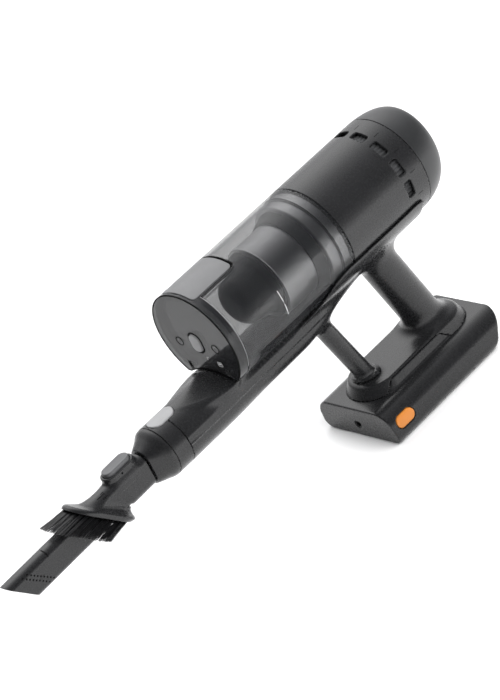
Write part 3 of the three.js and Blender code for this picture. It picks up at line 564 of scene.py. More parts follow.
def battery_field(x, y, z):
    height = BATTERY["height"]
    share = z / height
    half = BATTERY["low_half"] + (BATTERY["top_half"] - BATTERY["low_half"]) * share
    section = round_max((np.abs(y) - half) * 0.99, z - height, BATTERY["top_edge"])
    section = round_max(section, -z, BATTERY["low_edge"])
    front = x - BATTERY["front"][0] - (BATTERY["front"][1] - BATTERY["front"][0]) * share
    rear = (-x - BATTERY["rear"][0] - (BATTERY["rear"][1] - BATTERY["rear"][0]) * share) * 0.85
    shell = round_max(round_max(section, front, 1.8), rear, 3.5)
    raised = round_max(foot_flank(x, y, z) + 0.1, foot_rail(x, z, 0), 0.5)
    raised = np.maximum(raised, height - 6 - z)
    shell = blend_min(shell, raised, 1.5)
    middle = sum(BAY["x"]) / 2
    bay = np.maximum(rounded_rect(x - middle, y, BAY["x"][1] - middle, BAY["half"], 4), z - BAY["top"])
    well = overlap(np.abs(x) - 10.5, np.abs(y) - 5.5, BAY["top"] - 1 - z)
    a, b = SIDE_BUTTON["half"]
    button = rounded_rect(x - SIDE_BUTTON["x"], z - SIDE_BUTTON["z"], a + 0.45, b + 0.45, b + 0.45)
    button = np.maximum(button, BAY["half"] + 1 - y)
    socket = np.maximum(np.hypot(y, z - SOCKET["z"]) - SOCKET["radius"] - 0.3, 60 - x)
    for hollow in (bay, well, button, socket):
        shell = blend_max(shell, -hollow, 0.4)
    return shell


carved("battery_case", "battery", battery_field, (-84, -50, -2), (77, 50, 44), 1.0,
       charcoal, ["battery_shell"])


def flank_y(z):
    return BATTERY["low_half"] + (BATTERY["top_half"] - BATTERY["low_half"]) * z / BATTERY["height"]


def side_place(a, b, out):
    """A point on the battery's left flank, out by the given amount, following its rounded top edge."""
    z = SIDE_BUTTON["z"] + b
    edge = BATTERY["top_edge"]
    curve = edge - math.sqrt(max(edge ** 2 - max(z - (BATTERY["height"] - edge), 0) ** 2, 0))
    return SIDE_BUTTON["x"] + a, out + flank_y(z) - curve - flank_y(SIDE_BUTTON["z"]), z


button_rings = cushion_rings(10.6, 5.4, 5.4, 42.5, flank_y(SIDE_BUTTON["z"]) + 0.1, 0.7, side_place)
assembled("battery_side_button", "battery_button", [lofted(button_rings)], orange,
          ["battery_button"])

# ---- motor housing and rear cap ----

HOUSING_WALL = 2.5
FLANGE = {"inset": 0.6, "hole_radius": 40, "half": 1.25}
VENT = {"x": (-48.6, -40.5), "width": 15.3, "pitch_degrees": 26.7, "per_side": 4}


def housing_field(x, y, z):
    r = from_axis(y, z)
    around = np.arctan2(y, z - AXIS_Z)
    middle, half = (CAP_SEAM_X + BIN_REAR_X - GAP) / 2, (BIN_REAR_X - GAP - CAP_SEAM_X) / 2
    wall = np.maximum(round_max(r - BODY_R, slab(x, middle, half), 0.5), BODY_R - HOUSING_WALL - r)
    flange = overlap(r - BODY_R + FLANGE["inset"], FLANGE["hole_radius"] - r,
                     np.abs(x - BIN_REAR_X + GAP + FLANGE["half"]) - FLANGE["half"])
    wall = np.minimum(wall, flange)
    pitch = math.radians(VENT["pitch_degrees"])
    turn = around / pitch
    nearest = np.clip(np.floor(turn) + 0.5, 0.5 - VENT["per_side"], VENT["per_side"] - 0.5)
    across = (around - nearest * pitch) * BODY_R
    x0, x1 = VENT["x"]
    slot = rounded_rect(x - (x0 + x1) / 2, across, (x1 - x0) / 2, VENT["width"] / 2, 1.9)
    return blend_max(wall, -slot, 0.5)


carved("motor_case", "frame", housing_field, (-68, -49, AXIS_Z - 49), (35, 49, AXIS_Z + 49), 1.05,
       charcoal, ["motor_housing"])


def filter_sleeve():
    """The pleated exhaust filter seen through the vents."""
    count, pleats, x0, x1 = 432, 72, -58.0, -38.0
    ridge, depth, inner = 43.4, 1.3, 39.0
    rows = []
    for i in range(count):
        angle = 2 * math.pi * i / count
        r = ridge - depth * (0.5 - 0.5 * math.cos(angle * pleats))
        section = ((x0, inner), (x0, r), (x1, r), (x1, inner))
        across, up = math.sin(angle), math.cos(angle)
        rows.append([(x, radius * across, AXIS_Z + radius * up) for x, radius in section])
    return woven(rows)


assembled("exhaust_pleats", "frame", [filter_sleeve()], foam, ["exhaust_filter"])
# Thin near-black strips behind each gap between the vents: painted shade of the shallow creases that run
# back from the vents.
turns = [k * VENT["pitch_degrees"] for k in range(-4, 5)]
crease_shade_strips = [curved_plate(-57.5, -51.2, turn - 0.28, turn + 0.28, 47.3, 47.54) for turn in turns]
assembled("vent_crease_shade", "frame", crease_shade_strips, seam_and_shade_black)


def lean_back(p):
    """Leans a point of the cap, more the nearer it is to the cap's rear end."""
    share = max(0.0, (CAP_SEAM_X - p[0]) / (CAP_SEAM_X - CAP_REAR_X))
    return p[0] - CAP_LEAN * (p[2] - AXIS_Z) * share, p[1], p[2]


def cap_profile():
    start, depth, hole = -62.8, 13.2, 19.9
    seam = CAP_SEAM_X - GAP

    def round_end(wall):
        length = start - CAP_REAR_X - wall
        first = math.asin((start - seam) / length)
        for i in range(25):
            angle = first + (math.pi / 2 - first) * i / 24
            yield start - length * math.sin(angle), BODY_R - wall - depth * (1 - math.cos(angle))

    outer = list(round_end(0))
    inner = list(round_end(2.4))[::-1]
    return [(seam, BODY_R - 0.5), (seam - 0.25, outer[0][1] - 0.1)] + outer[1:] + [
        (CAP_REAR_X, hole + 0.6), (CAP_REAR_X + 0.6, hole), (CAP_REAR_X + 2.4, hole)] + inner + [
        (seam + 5, BODY_R - 5), (seam + 5, BODY_R - 2.9), (seam, BODY_R - 2.9)]


assembled("cap_shell", "rear_cap", [revolved(cap_profile(), shift=lean_back)], slate,
          ["rear_cap"])

DISPLAY = {"x": CAP_REAR_X + 0.3, "radius": 18.8, "button": 5.6, "button_z": AXIS_Z - 8}


def lean_forward(x, z):
    """Undoes the cap's lean, at the display's depth."""
    return x + CAP_LEAN * (z - AXIS_Z)


def display_field(x, y, z):
    level_x = lean_forward(x, z)
    pane = round_max(from_axis(y, z) - DISPLAY["radius"], np.abs(level_x - DISPLAY["x"] - 1) - 1, 0.4)
    return blend_max(pane, DISPLAY["button"] + 0.4 - np.hypot(y, z - DISPLAY["button_z"]), 0.3)


carved("display_pane", "frame", display_field, (-99, -20, 166), (-89, 20, 208), 0.6,
       window, ["display_panel"])


def key_field(x, y, z):
    start = CAP_REAR_X + CAP_LEAN * (AXIS_Z - DISPLAY["button_z"]) - 0.8
    across = np.hypot(y, z - DISPLAY["button_z"])
    key = round_max(across - DISPLAY["button"], np.abs(x - start - 2.4) - 2.4, 0.7)
    ring = np.maximum(np.abs(across - 2.2) - 0.35, x - start - 0.3)
    return np.maximum(key, -ring)


carved("power_key", "power_button", key_field, (-97, -7, 172), (-88, 7, 186), 0.35,
       light_grey, ["power_button"])

# ---- dust bin and lid ----

BIN_WALL = 2.3
TRAY_R = (40.8, 46.5)
POCKET_R = 42.8
LID_WALL = 2.2
LID_FRONT_WALL = 2.4
LATCH = {"x": (127.0, 174.2), "half_angle": math.radians(25.2), "corner": 4.0, "rear_gap": 1.5}


def latch_area(x, y, z, grow, behind=0.0):
    """Outline of the panel let into the bin's top, grown all round, and longer at its rear by behind."""
    across = np.arctan2(y, z - AXIS_Z) * BODY_R
    x0, x1 = LATCH["x"][0] - behind, LATCH["x"][1]
    return rounded_rect(x - (x0 + x1) / 2, across, (x1 - x0) / 2 + grow, LATCH["half_angle"] * BODY_R + grow,
                        LATCH["corner"] + grow)


def hinge_gap(x, z):
    """Distance from the lid's hinge axis."""
    return np.hypot(x - HINGE["x"], z - HINGE["z"])


def bin_space(y, z, wall, corner):
    return round_max(cylinder_gap(y, z, BODY_R - wall), -saddle_gap(y, z, wall), corner)


def bin_field(x, y, z):
    end = LID_SEAM_X - GAP
    beyond = np.minimum(x - end, np.maximum(x - HINGE["x"], z - HINGE["z"]))
    shell = round_max(bin_space(y, z, 0, 2.5), np.maximum(BIN_REAR_X - x, beyond), 0.5)
    shell = np.maximum(shell, -bin_space(y, z, BIN_WALL, 2.0))
    r = from_axis(y, z)
    tray = overlap(latch_area(x, y, z, 3.4), r - TRAY_R[1], TRAY_R[0] - r, x - end)
    pocket = np.maximum(latch_area(x, y, z, 0.7, LATCH["rear_gap"]), POCKET_R - r)
    shell = blend_max(np.minimum(shell, tray), -pocket, 0.4)
    middle, half = HINGE["arm"]
    arms = overlap(np.abs(np.abs(y) - middle) - half, np.abs(z - HINGE["z"] + 1.0) - 2.9,
                   np.abs(x - end + 1.6) - 9.6 - 2.0 * (x > end))
    shell = np.maximum(shell, HINGE["socket"] - hinge_gap(x, z))
    return np.minimum(shell, np.maximum(arms, 161 - x))


carved("bin_shell", "dust_bin", bin_field, (31, -49, 149), (179, 49, 236), 1.15,
       smoky, ["dust_bin"])


def front_button(y, z, grow):
    return rounded_rect(y, z - AXIS_Z + 1, 6.3 + grow, 9 + grow, 6.3 + grow)


def lid_field(x, y, z):
    middle, half = (LID_SEAM_X + LID_FRONT_X) / 2, (LID_FRONT_X - LID_SEAM_X) / 2
    shell = round_max(bin_space(y, z, 0, 2.5), slab(x, middle, half), 0.9)
    hollow = np.maximum(bin_space(y, z, LID_WALL, 2.0), x - LID_FRONT_X + LID_FRONT_WALL)
    shell = blend_max(shell, -hollow, 0.5)
    shell = blend_max(shell, -front_button(y, z, 0.5), 0.4)
    shell = blend_max(shell, -latch_area(x, y, z, 0.8), 0.4)
    behind = overlap(z - HINGE["z"], x - HINGE["x"], HINGE["knuckle"] - hinge_gap(x, z))
    under = overlap(z - HINGE["z"], HINGE["x"] - x, HINGE["lip"] - hinge_gap(x, z))
    middle, half = HINGE["arm"]
    slots = np.maximum(np.abs(np.abs(y) - middle) - half - 0.5, z - HINGE["z"] - 3.2)
    return np.maximum(shell, -np.minimum(np.minimum(behind, under), slots))


carved("lid_shell", "bin_lid", lid_field, (165, -49, 149), (180, 49, 236), 0.8,
       smoky_lid, ["bin_lid"])


def latch_field(x, y, z):
    r = from_axis(y, z)
    area = latch_area(x, y, z, 0.0)
    return np.maximum(round_max(area, r - BODY_R, 0.6), BODY_R - 2.2 - r)


carved("latch_cover", "latch_panel", latch_field, (125, -23, 225), (176, 23, 236), 0.7,
       panel_grey, ["latch_panel"])


def front_place(a, b, out):
    return out, a, AXIS_Z - 1 + b


lid_button_rings = cushion_rings(6.0, 8.7, 6.0, 172.5, LID_FRONT_X + 1.5, 0.8, front_place, crown=0.3)
assembled("lid_button", "bin_release_button", [lofted(lid_button_rings)], light_grey,
          ["bin_release_button"])

# ---- lid and latch details ----


def latch_gap_shade_field(x, y, z):
    """A dark sheet in the pocket round the latch panel: painted shade of the shadow gap round the panel."""
    r = from_axis(y, z)
    hollow = np.maximum(latch_area(x, y, z, 0.55, 0.3), 43.1 - r)
    return overlap(latch_area(x, y, z, 1.0, LATCH["rear_gap"]), r - BODY_R + 0.4, 42.6 - r, -hollow,
                   x - LID_SEAM_X + GAP)


# Painted shade: the near-black sheet in the gap round the latch panel.
carved("latch_gap_shade", "dust_bin", latch_gap_shade_field, (122, -24, 222), (168, 24, 236), 0.5,
       seam_and_shade_black)


def lid_rim_shade_field(x, y, z):
    """A thin dark line round the lid's front edge: painted shade where the clear wall is seen edge on."""
    band = np.abs(bin_space(y, z, 0, 2.5) + 0.5) - 0.5
    band = np.maximum(band, -np.maximum(z - HINGE["z"], HINGE["lip"] - 0.3 - hinge_gap(x, z)))
    return np.maximum(band, np.abs(x - LID_FRONT_X + 0.25) - 0.5)


carved("lid_rim_shade", "bin_lid", lid_rim_shade_field, (176, -49, 149), (180, 49, 236), 0.45,
       seam_and_shade_black)


# A near-black ring round the lid's front button: painted shade of the gap round the button.
def button_gap_shade_field(x, y, z):
    band = np.maximum(front_button(y, z, 1.7), -front_button(y, z, 0.35))
    return np.maximum(band, np.abs(x - LID_FRONT_X + 0.6) - 0.85)


carved("button_gap_shade", "bin_lid", button_gap_shade_field, (175, -10, 174), (179.5, 10, 198), 0.4,
       seam_and_shade_black)

# Light grey arcs along the lid's rear edge on each side: painted highlight of the clear plastic's edge.
GLINT_FROM, GLINT_TO = 27, 122
seam_highlight_arcs = [curved_plate(LID_SEAM_X + 0.1, LID_SEAM_X + 0.5, side * GLINT_FROM, side * GLINT_TO, 47.0, 47.58)
             for side in (-1, 1)]
assembled("lid_seam_highlight", "bin_lid", seam_highlight_arcs, clear_edge_highlight)


def lid_ribs():
    """Fine raised ribs round the lid's skirt, in two groups."""
    parts = []
    for side in (-1, 1):
        for degrees in list(range(30, 62, 4)) + list(range(66, 118, 13)):
            angle = side * degrees
            parts.append(curved_plate(168.6, 176.6, angle - 0.25, angle + 0.25, 45.0, 45.5))
    return parts


assembled("lid_ribs", "bin_lid", lid_ribs(), smoky_lid)


def ring_on_front(y, z, radius, width, x0, x1):
    """Points and faces of a flat ring on the lid's front face."""
    profile = [(x0, radius - width), (x0, radius), (x1, radius), (x1, radius - width)]
    points, faces = revolved(profile, 0, 40)
    return [(px, py + y, pz + z) for px, py, pz in points], faces


RECESS = {"y": 22.6, "z": AXIS_Z - 3.2, "radius": 4.4}
recess_rings = [ring_on_front(side * RECESS["y"], RECESS["z"], RECESS["radius"], 0.7, 176.9, 178.25)
                for side in (-1, 1)]
assembled("lid_recess_rings", "bin_lid", recess_rings, seam_and_shade_black)
recess_caps = [ring_on_front(side * RECESS["y"] + 0.5, RECESS["z"] - 0.5, 2.9, 0.45, 176.8, 178.1)
               for side in (-1, 1)]
assembled("lid_recess_caps", "bin_lid", recess_caps, panel_grey)

# The keeper is clear plastic, drawn opaque in the light grey of the painted edge highlight.
assembled("latch_keeper", "bin_lid", [curved_plate(169.2, 175.2, -21, 13, 41.6, 44.6)], clear_edge_highlight)
hooks = [curved_plate(168.8, 175.3, middle - 2.6, middle + 2.6, 40.2, 42.6) for middle in (-14, -3.5, 6)]
assembled("latch_hooks", "bin_lid", hooks, black)


def open_outline(half_a, half_b, width):
    """Four thin bars round a rectangle, as (a0, a1, b0, b1)."""
    return [(-half_a, half_a, -half_b, -half_b + width), (-half_a, half_a, half_b - width, half_b),
            (-half_a, -half_a + width, -half_b, half_b), (half_a - width, half_a, -half_b, half_b)]


def raised_bars(bars, place, levels):
    """Thin bars (a0, a1, b0, b1) on a face, where place turns (a, b, level) into a point."""
    parts = []
    for a0, a1, b0, b1 in bars:
        corners = ((a0, b0), (a1, b0), (a1, b1), (a0, b1))
        parts.append(lofted([[place(a, b, level) for a, b in corners] for level in levels]))
    return parts


def on_lid(y, z, x):
    return x, y, z


def lid_signs():
    """Two small generic signs on the lid's lower front: an open square with a bar, and a corner."""
    bars = [(18.5 + a0, 18.5 + a1, 167.0 + b0, 167.0 + b1) for a0, a1, b0, b1 in open_outline(2.6, 2.4, 0.5)]
    bars += [(17.3, 19.9, 166.5, 168.2), (4.2, 4.8, 169.0, 172.4), (4.2, 7.0, 171.8, 172.4)]
    return raised_bars(bars, on_lid, (177.7, 178.08))


assembled("lid_signs", "bin_lid", lid_signs(), pale_print_and_highlight)

# ---- inside the bin ----


def ring_gap(x, r, x0, x1, inner, outer, edge=0.4):
    return round_max(np.maximum(r - outer, inner - r), slab(x, (x0 + x1) / 2, (x1 - x0) / 2), edge)


def insert(name, field, low_x, high_x, radius, step, look, node):
    """A piece inside the bin, cut off above the bin's hollowed underside."""
    def trimmed(x, y, z):
        return round_max(field(x, y, z), -saddle_gap(y, z, 3.2), 0.6)
    low, high = (low_x - 2, -radius - 2, 156), (high_x + 2, radius + 2, AXIS_Z + radius + 2)
    carved(name, "dust_bin", trimmed, low, high, step, look, [node])


def drum_field(x, y, z):
    """A thin drum with a ring-shaped front."""
    r = from_axis(y, z)
    return np.minimum(ring_gap(x, r, 48.4, 100, 32.8, 34.8), ring_gap(x, r, 98, 100, 24.6, 34.8))


def skirt_field(x, y, z):
    """A narrowing skirt round the drum's rear."""
    wall = np.abs(from_axis(y, z) - 38.7 + (x - 55) * 0.32) - 1.5
    return round_max(wall, slab(x, 60.5, 5.5), 0.5)


insert("cyclone_drum", drum_field, 48, 100, 35, 1.2, satin, "cyclone_core")
insert("cyclone_skirt", skirt_field, 55, 66, 41, 1.0, black, "cyclone_band")
insert("filter_ring", lambda x, y, z: ring_gap(x, from_axis(y, z), 44.6, 54.8, 36, 43.6, 0.8),
       44, 55, 44, 1.2, satin, "filter_flange")
insert("filter_pleats",
       lambda x, y, z: ring_gap(x, from_axis(y, z), 34.5, 43.4, 0, 44.2),
       34, 44, 45, 1.2, satin, "pre_filter")

cone = [(50, 24), (50, 26), (96, 14), (96, 12)]
assembled("inner_cone", "dust_bin", [revolved(cone, count=96)], black, ["cyclone_cone"])


def shroud_profile():
    """The blind nose in front of the drum, with two shallow steps behind it."""
    outer = [(98.4, 24.2), (100.4, 32.6), (102.6, 32.2), (103.2, 30.4), (105.6, 29.8), (106.4, 27.4),
             (109, 25.4), (114, 23.6), (120, 22.2)]
    for i in range(13):
        angle = i / 12 * math.pi / 2
        outer.append((122 + 11 * math.sin(angle), 9 + 13 * math.cos(angle)))
    outer += [(133.2, 6), (133.3, 0)]
    return outer + [(131, 0), (131, 6), (121, 19.6), (98.4, 21.6)]


assembled("cyclone_nose", "dust_bin", [revolved(shroud_profile())], black,
          ["mesh_shroud"], sharp_degrees=60)
# A pale arc on the drum's front rim, on its lit side only: painted highlight.
assembled("drum_rim_highlight", "dust_bin", [curved_plate(99.7, 100.25, -34, 118, 34.6, 35.1)], pale_print_and_highlight)
level_marks = [curved_plate(115.3, 115.8, start, start + 13, 47.45, 47.56) for start in (75, 91)]
assembled("fill_level_marks", "dust_bin", level_marks, pale_print_and_highlight)
assembled("bin_wall_rib", "dust_bin", [curved_plate(43.6, 44.2, -36, 118, 45.2, 45.6)], seam_and_shade_black)

# ---- tube collar and buttons ----


def collar_field(x, y, z):
    r = from_tube_axis(y, z)
    middle, half = (COLLAR_SEAM_X + TUBE_FRONT_X) / 2, (TUBE_FRONT_X - COLLAR_SEAM_X) / 2
    ring = round_max(round_max(r - TUBE_R, slab(x, middle, half), 0.5), TUBE_BORE + 0.4 - r, 0.3)
    return blend_max(ring, -release_pocket(x, y, z), 0.3)


carved("collar_ring", "frame", collar_field, (237, -26, 108), (257, 26, 160), 0.8,
       charcoal, ["tube_collar"])


def release_field(x, y, z):
    crown = from_tube_axis(y, z) - TUBE_R - 0.9
    return np.maximum(round_max(release_area(x, y), crown, 0.8), TUBE_Z + 21 - z)


carved("release_pad", "tube_release_button", release_field, (225, -9, 154), (254.6, 9, 160), 0.5,
       light_grey, ["tube_release_button"])


def on_neck(x, y, lift):
    """A point on the neck's broad top, just above its surface."""
    return x, y, SADDLE_TOP_Z - SADDLE_PLAY - SADDLE_R + math.sqrt(SADDLE_R ** 2 - y ** 2) + lift


def neck_signs():
    """A small generic sign on the neck, an open square with a bar in it, and a dot behind it."""
    bars = [(193.5 + a0, 193.5 + a1, 9.0 + b0, 9.0 + b1) for a0, a1, b0, b1 in open_outline(2.6, 3.4, 0.55)]
    bars += [(192.6, 194.4, 6.8, 9.6), (187.2, 188.2, -3.2, -2.2)]
    return raised_bars(bars, on_neck, (-1.5, 0.06))


assembled("neck_signs", "frame", neck_signs(), pale_print_and_highlight)

# ---- crevice tool ----


def tilted(points):
    """Tilts points of the tool, drawn level, down towards its tip."""
    c, s = math.cos(TOOL_TILT), math.sin(TOOL_TILT)
    return [(TOOL_PIVOT_X + (x - TOOL_PIVOT_X) * c + (z - TOOL_Z) * s, y,
             TOOL_Z - (x - TOOL_PIVOT_X) * s + (z - TOOL_Z) * c) for x, y, z in points]


def tilted_field(field):
    """The field of a shape of the tool, drawn level, in its tilted place."""
    c, s = math.cos(TOOL_TILT), math.sin(TOOL_TILT)

    def placed_field(x, y, z):
        dx, dz = x - TOOL_PIVOT_X, z - TOOL_Z
        return field(TOOL_PIVOT_X + dx * c - dz * s, y, TOOL_Z + dx * s + dz * c)
    return placed_field


SPIGOT = {"x": (232, 257), "bore": 14.6, "bore_front": 258}
PASSAGE = {"half": (5.8, 12.1), "corner": 5, "rear": 256}
# x, shift of the section's middle, half-width, half-height and corner radius
CONE = [(TUBE_FRONT_X + GAP, 0, 23.9, 23.9, 23.9), (257.8, 0, 23.3, 23.5, 23.3), (264, -0.8, 18.3, 20.7, 18),
        (270, -1.4, 13.5, 17.9, 12), (CONE_FRONT_X, -1.5, 11, 16.5, 9)]


def connector_field(x, y, z):
    shift, t, h, r = (smooth_curve(CONE, column, x) for column in (1, 2, 3, 4))
    outer = rounded_rect(y, z - TUBE_Z - shift, t, h, np.minimum(r, np.minimum(t, h))) * 0.8
    outer = round_max(outer, np.maximum(TUBE_FRONT_X + GAP - x, x - CONE_FRONT_X), 0.4)
    rear, front = SPIGOT["x"]
    spigot = overlap(from_tube_axis(y, z) - TUBE_BORE + GAP, rear - x, x - front)
    bore = np.maximum(from_tube_axis(y, z) - SPIGOT["bore"], x - SPIGOT["bore_front"])
    passage = rounded_rect(y, z - TUBE_Z + 2, *PASSAGE["half"], PASSAGE["corner"])
    passage = np.maximum(passage, PASSAGE["rear"] - x)
    return np.maximum(np.minimum(outer, spigot), -np.minimum(bore, passage))


carved("connector_cone", "tool", connector_field, (230, -26, 108), (275, 26, 160), 0.9,
       charcoal, ["tool_connector"])

# x at the section's middle, forward shift per mm of height, growth in thickness and in height
FLARE = [(268, 0, 0, 0), (290, 0, 0, 0), (300, 0.05, 0, 0), (319, 1.03, 0.2, 0.3), (322, 1, 1.6, 2),
         (324.3, 0.93, 4.2, 5), (326.5, RIM_SLANT, 6.8, 8.7), (332, RIM_SLANT, 7, 8.9),
         (340, RIM_SLANT, 7, 8.9)]
FLARE_SEARCH = (268.0, 372.0)
THROAT = (7.8, 14.1, 6.7)


def flare_station(x, dz):
    """The station whose slanted section passes through a point."""
    stations = np.array(FLARE, float)
    low, high = (np.full(np.broadcast(x, dz).shape, end) for end in FLARE_SEARCH)
    for _ in range(14):
        middle = (low + high) / 2
        beyond = middle + np.interp(middle, stations[:, 0], stations[:, 1]) * dz > x
        low, high = np.where(beyond, low, middle), np.where(beyond, middle, high)
    return (low + high) / 2


def sleeve_field(x, y, z):
    t, h, r = SLEEVE
    dz = z - TOOL_Z
    along = flare_station(x, dz)
    thicker, taller = smooth_curve(FLARE, 2, along), smooth_curve(FLARE, 3, along)
    outer = rounded_rect(y, dz, t + thicker, h + taller, r + thicker) * 0.6
    outer = round_max(outer, (along - RIM_X) * 0.7, 0.5)
    outer = round_max(outer, CONE_FRONT_X + 1.2 - x, 0.5)
    post = stadium(x, y, KNOB["x"][0] - 2.2, KNOB["x"][1] + 2.2, KNOB["radius"] + 2.2)
    post = round_max(post + 1.6 * np.clip((PEDESTAL_TOP - 1 - z) / 4, 0, 1), z - PEDESTAL_TOP, 0.7)
    post = np.maximum(post, TOOL_Z + 8 - z)
    whole = blend_min(outer, post, 5)
    throat = rounded_rect(y, dz + NOZZLE_DROP, *THROAT)
    well = np.maximum(rounded_rect(y, dz, t + 5.1, h + 7, r + 4.9), (RIM_X - 3 - along) * 0.7)
    pocket = stadium(x, y, *KNOB["x"], KNOB["radius"]) - 0.35
    pocket = np.maximum(pocket, TOOL_Z + 16.1 - z)
    hole = np.maximum(np.hypot(x - 297, z - TOOL_Z - 16.6) - 0.9, 5 - y)
    for hollow in (throat, well, pocket, hole):
        whole = blend_max(whole, -hollow, 0.3)
    return whole


carved("brush_holder", "brush_sleeve", tilted_field(sleeve_field), (271, -18, 106), (358, 18, 157), 0.7,
       charcoal, ["brush_sleeve"])


def knob_place(a, b, out):
    return sum(KNOB["x"]) / 2 + a, b, out


knob_rings = cushion_rings(13.9, 6.1, 6.1, KNOB["low"], KNOB["top"], 0.9, knob_place, crown=-1.0)
knob_points, knob_faces = lofted(knob_rings)
assembled("brush_knob", "sleeve_button", [(tilted(knob_points), knob_faces)], knob_grey,
          ["sleeve_button"])


def nozzle_ring(x, slant, inset):
    t, h, r = NOZZLE
    outline = rounded_outline(t - inset, h - inset, r - inset, 10)
    return [(x + slant * b, a, TOOL_Z - NOZZLE_DROP + b) for a, b in outline]


def nozzle_tube():
    """The flat tube, open at both ends, its tip cut at a slant."""
    stations = [(CONE_FRONT_X + GAP, 0), (330, 0), (388, 0), (TIP_X, TIP_SLANT)]
    outer = [nozzle_ring(x, slant, 0) for x, slant in stations]
    lip = nozzle_ring(TIP_X + 0.3, TIP_SLANT, 0.35)
    inner = [nozzle_ring(x, slant, 1.6) for x, slant in stations[::-1]]
    points, faces = woven(outer + [lip] + inner)
    return tilted(points), faces


assembled("crevice_tube", "tool", [nozzle_tube()], charcoal, ["crevice_nozzle"])


def nozzle_holes():
    """Two slanted rows of small air holes on each side near the tip, laid on its rounded flank."""
    t, h, r = NOZZLE
    top_x, top_z, run, fall, row_gap = 411.9, 139.3, 18.2, 18.7, 4.9
    count, sides, radius = 9, 12, 0.85
    turns = [2 * math.pi * i / sides for i in range(sides)]
    parts = []
    for side in (-1, 1):
        for shift in (0.0, row_gap):
            for k in range(count):
                share = k / (count - 1)
                x, z = top_x + shift - run * share, top_z - fall * share
                corner = max(abs(z - TOOL_Z + NOZZLE_DROP + 2.3) - h + r, 0)
                flank = t - r + math.sqrt(r ** 2 - corner ** 2)
                rings = [[(x + radius * math.cos(turn), side * depth, z + radius * math.sin(turn))
                          for turn in turns] for depth in (flank - 0.5, flank + 0.03)]
                parts.append(lofted(rings))
    return parts


assembled("nozzle_holes", "tool", nozzle_holes(), seam_and_shade_black)


def nozzle_notch():
    """A cross line over the nozzle's top edge, and a short slanted crease low on its flank."""
    t, h, r = NOZZLE
    points, faces = curved_plate(388.2, 389.1, -20, 75, r - 0.4, r + 0.12, TOOL_Z - NOZZLE_DROP + h - r)
    over = [(x, y + t - r, z) for x, y, z in points], faces
    x, z, width, reach, fall = 399.0, 131.5, 0.7, 6.4, 1.2
    corners = [(x, z), (x + width, z), (x + reach + width, z - fall), (x + reach, z - fall)]
    crease = lofted([[(px, t + out, pz) for px, pz in corners] for out in (-0.2, 0.04)])
    return [(tilted(points), faces) for points, faces in (over, crease)]


assembled("nozzle_notch", "tool", nozzle_notch(), seam_and_shade_black)


def bristle_tufts():
    """Tufts of fine tapered fibres round the oval rim, fanning out a little."""
    rng = random.Random(7)
    t, h, r = SLEEVE
    outline = rounded_outline(t + 3.1, h + 5.1, r + 2.8, 12)
    lengths = [math.dist(outline[i - 1], outline[i]) for i in range(len(outline))]
    tufts, fibres, parts = 30, 34, []
    for k in range(tufts):
        travel = sum(lengths) * k / tufts
        i = 0
        while travel > lengths[i]:
            travel -= lengths[i]
            i += 1
        share = travel / max(lengths[i], 1e-6)
        y = outline[i - 1][0] + (outline[i][0] - outline[i - 1][0]) * share
        dz = outline[i - 1][1] + (outline[i][1] - outline[i - 1][1]) * share
        for _ in range(fibres):
            angle, reach = rng.uniform(0, 2 * math.pi), 1.6 * math.sqrt(rng.random())
            fy, fz = y + reach * math.cos(angle), dz + reach * math.sin(angle)
            ty = y * 1.18 + 1.2 * (fy - y) + rng.gauss(0, 0.3)
            tz = dz * 1.1 + 1.2 * (fz - dz) + rng.gauss(0, 0.3)
            root = RIM_X - 2.4 + RIM_SLANT * fz
            tip = BRISTLE["tip_x"] - rng.random() * 1.2 + BRISTLE["slant"] * tz
            rings = []
            for s, radius in ((0, 0.17), (0.5, 0.16), (1, 0.1)):
                x, bow = root + (tip - root) * s, s * (0.7 + 0.3 * s)
                rings.append([(x, fy + (ty - fy) * bow + radius * math.cos(a), TOOL_Z + fz + (tz - fz) * bow
                               + radius * math.sin(a)) for a in (0.3, 2.4, 4.5)])
            points, faces = lofted(rings)
            parts.append((tilted(points), faces))
    return parts


assembled("bristle_tufts", "brush_sleeve", bristle_tufts(), bristle, ["brush_bristles"])

# ---- carried-over nodes ----

LOOKS = {
    "charcoal_plastic": charcoal, "grey_plastic": slate, "light_grey_plastic": light_grey,
    "orange_plastic": orange, "black_plastic": black, "display_window": window, "smoky_clear": smoky,
    "bristle": bristle, "seal_rubber": rubber, "filter_foam": foam, "steel": steel, "copper_winding": copper,
    "circuit_board": board_green, "cell_wrap": wrap,
}
for entry in frame["record"]["subparts"]:
    node = frame["nodes"][entry["node"]]
    node.data.materials.clear()
    node.data.materials.append(LOOKS[entry["material_slot"]])

# ---- floor, light and camera ----


def floor():
    mesh = bpy.data.meshes.new("floor")
    half = 6.0
    corners = [(-half, -half, 0), (half, -half, 0), (half, half, 0), (-half, half, 0)]
    mesh.from_pydata(corners, [], [(0, 1, 2, 3)])
    made = placed("floor", mesh)
    look, nodes, links, shader = material("pale floor")
    cloud = cloudy(nodes, links, 3)
    links.new(tint(nodes, links, cloud, (0.92, 0.92, 0.92), 0.01), shader.inputs["Base Color"])
    shader.inputs["Roughness"].default_value = 0.9
    mesh.materials.append(look)


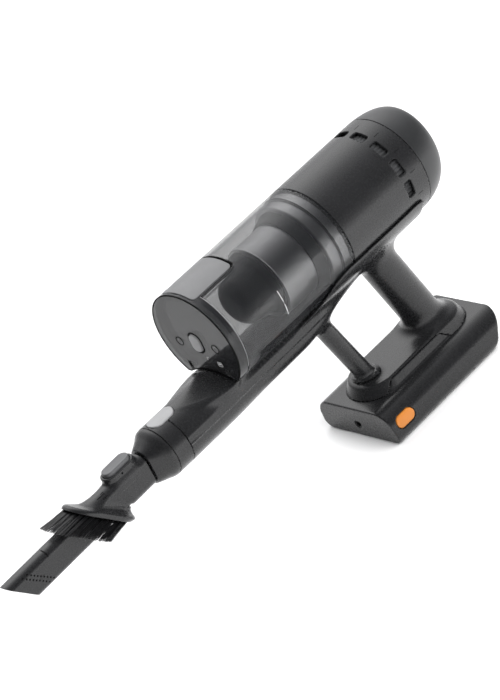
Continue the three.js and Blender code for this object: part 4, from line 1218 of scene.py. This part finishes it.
def sky():
    """A studio sky: one broad soft source above and behind, dark elsewhere, and pale at the horizon."""
    world = bpy.data.worlds.new("studio")
    bpy.context.scene.world = world
    world.use_nodes = True
    nodes, links = world.node_tree.nodes, world.node_tree.links
    place = nodes.new("ShaderNodeTexCoord")
    lobe = nodes.new("ShaderNodeVectorMath")
    lobe.operation = "DOT_PRODUCT"
    lobe.inputs[1].default_value = Vector((-0.30, -0.58, 0.757)).normalized()
    ramp = nodes.new("ShaderNodeValToRGB")
    links.new(place.outputs["Generated"], lobe.inputs[0])
    links.new(lobe.outputs["Value"], ramp.inputs["Fac"])
    stops = ramp.color_ramp.elements
    stops[0].position, stops[0].color = 0.0, (0.08, 0.08, 0.082, 1)
    stops[1].position, stops[1].color = 1.0, (4.6, 4.6, 4.6, 1)
    for height, level in ((0.30, 0.12), (0.60, 0.6), (0.85, 2.1)):
        stops.new(height).color = (level, level, level * 1.02, 1)
    split = nodes.new("ShaderNodeSeparateXYZ")
    both = nodes.new("ShaderNodeMix")
    both.data_type = "RGBA"
    both.blend_type = "ADD"
    both.inputs["Factor"].default_value = 1.0
    links.new(place.outputs["Generated"], split.inputs["Vector"])
    horizon = ranged(nodes, links, split.outputs["Z"], (0.28, 0), (0, 1))
    links.new(ramp.outputs["Color"], both.inputs["A"])
    links.new(horizon, both.inputs["B"])
    links.new(both.outputs["Result"], nodes["Background"].inputs["Color"])
    nodes["Background"].inputs["Strength"].default_value = 0.62


def area_light(name, place, target, size, power):
    """A soft light that brightens surfaces but leaves no patch of its own in glossy ones."""
    data = bpy.data.lights.new(name, "AREA")
    data.shape = "RECTANGLE"
    data.size, data.size_y = size
    data.energy = power
    made = placed(name, data)
    made.location = place
    made.rotation_euler = (Vector(target) - Vector(place)).to_track_quat("-Z", "Y").to_euler()
    made.visible_glossy = False


def camera():
    data = bpy.data.cameras.new("camera")
    data.lens = 147.14
    data.sensor_width = 36
    data.clip_end = 50
    made = placed("camera", data)
    across = Vector((-0.6535, 0.6463, -0.3940)).normalized()
    back = Vector((0.4414, 0.7482, 0.4953)).normalized()
    up = back.cross(across).normalized()
    across = up.cross(back)
    turn = Matrix((across, up, back)).transposed()
    made.matrix_world = Matrix.Translation((1.1752, 1.7615, 1.3114)) @ turn.to_4x4()
    bpy.context.scene.camera = made


floor()
sky()
area_light("overhead", (0.1, 0.3, 2.4), (0.1, 0.2, 0.1), (3.2, 3.2), 46)
area_light("floor wash", (-0.35, 1.3, 1.1), (-0.3, 1.0, 0.0), (1.4, 1.4), 34)
camera()
bpy.context.scene.view_settings.view_transform = "Standard"
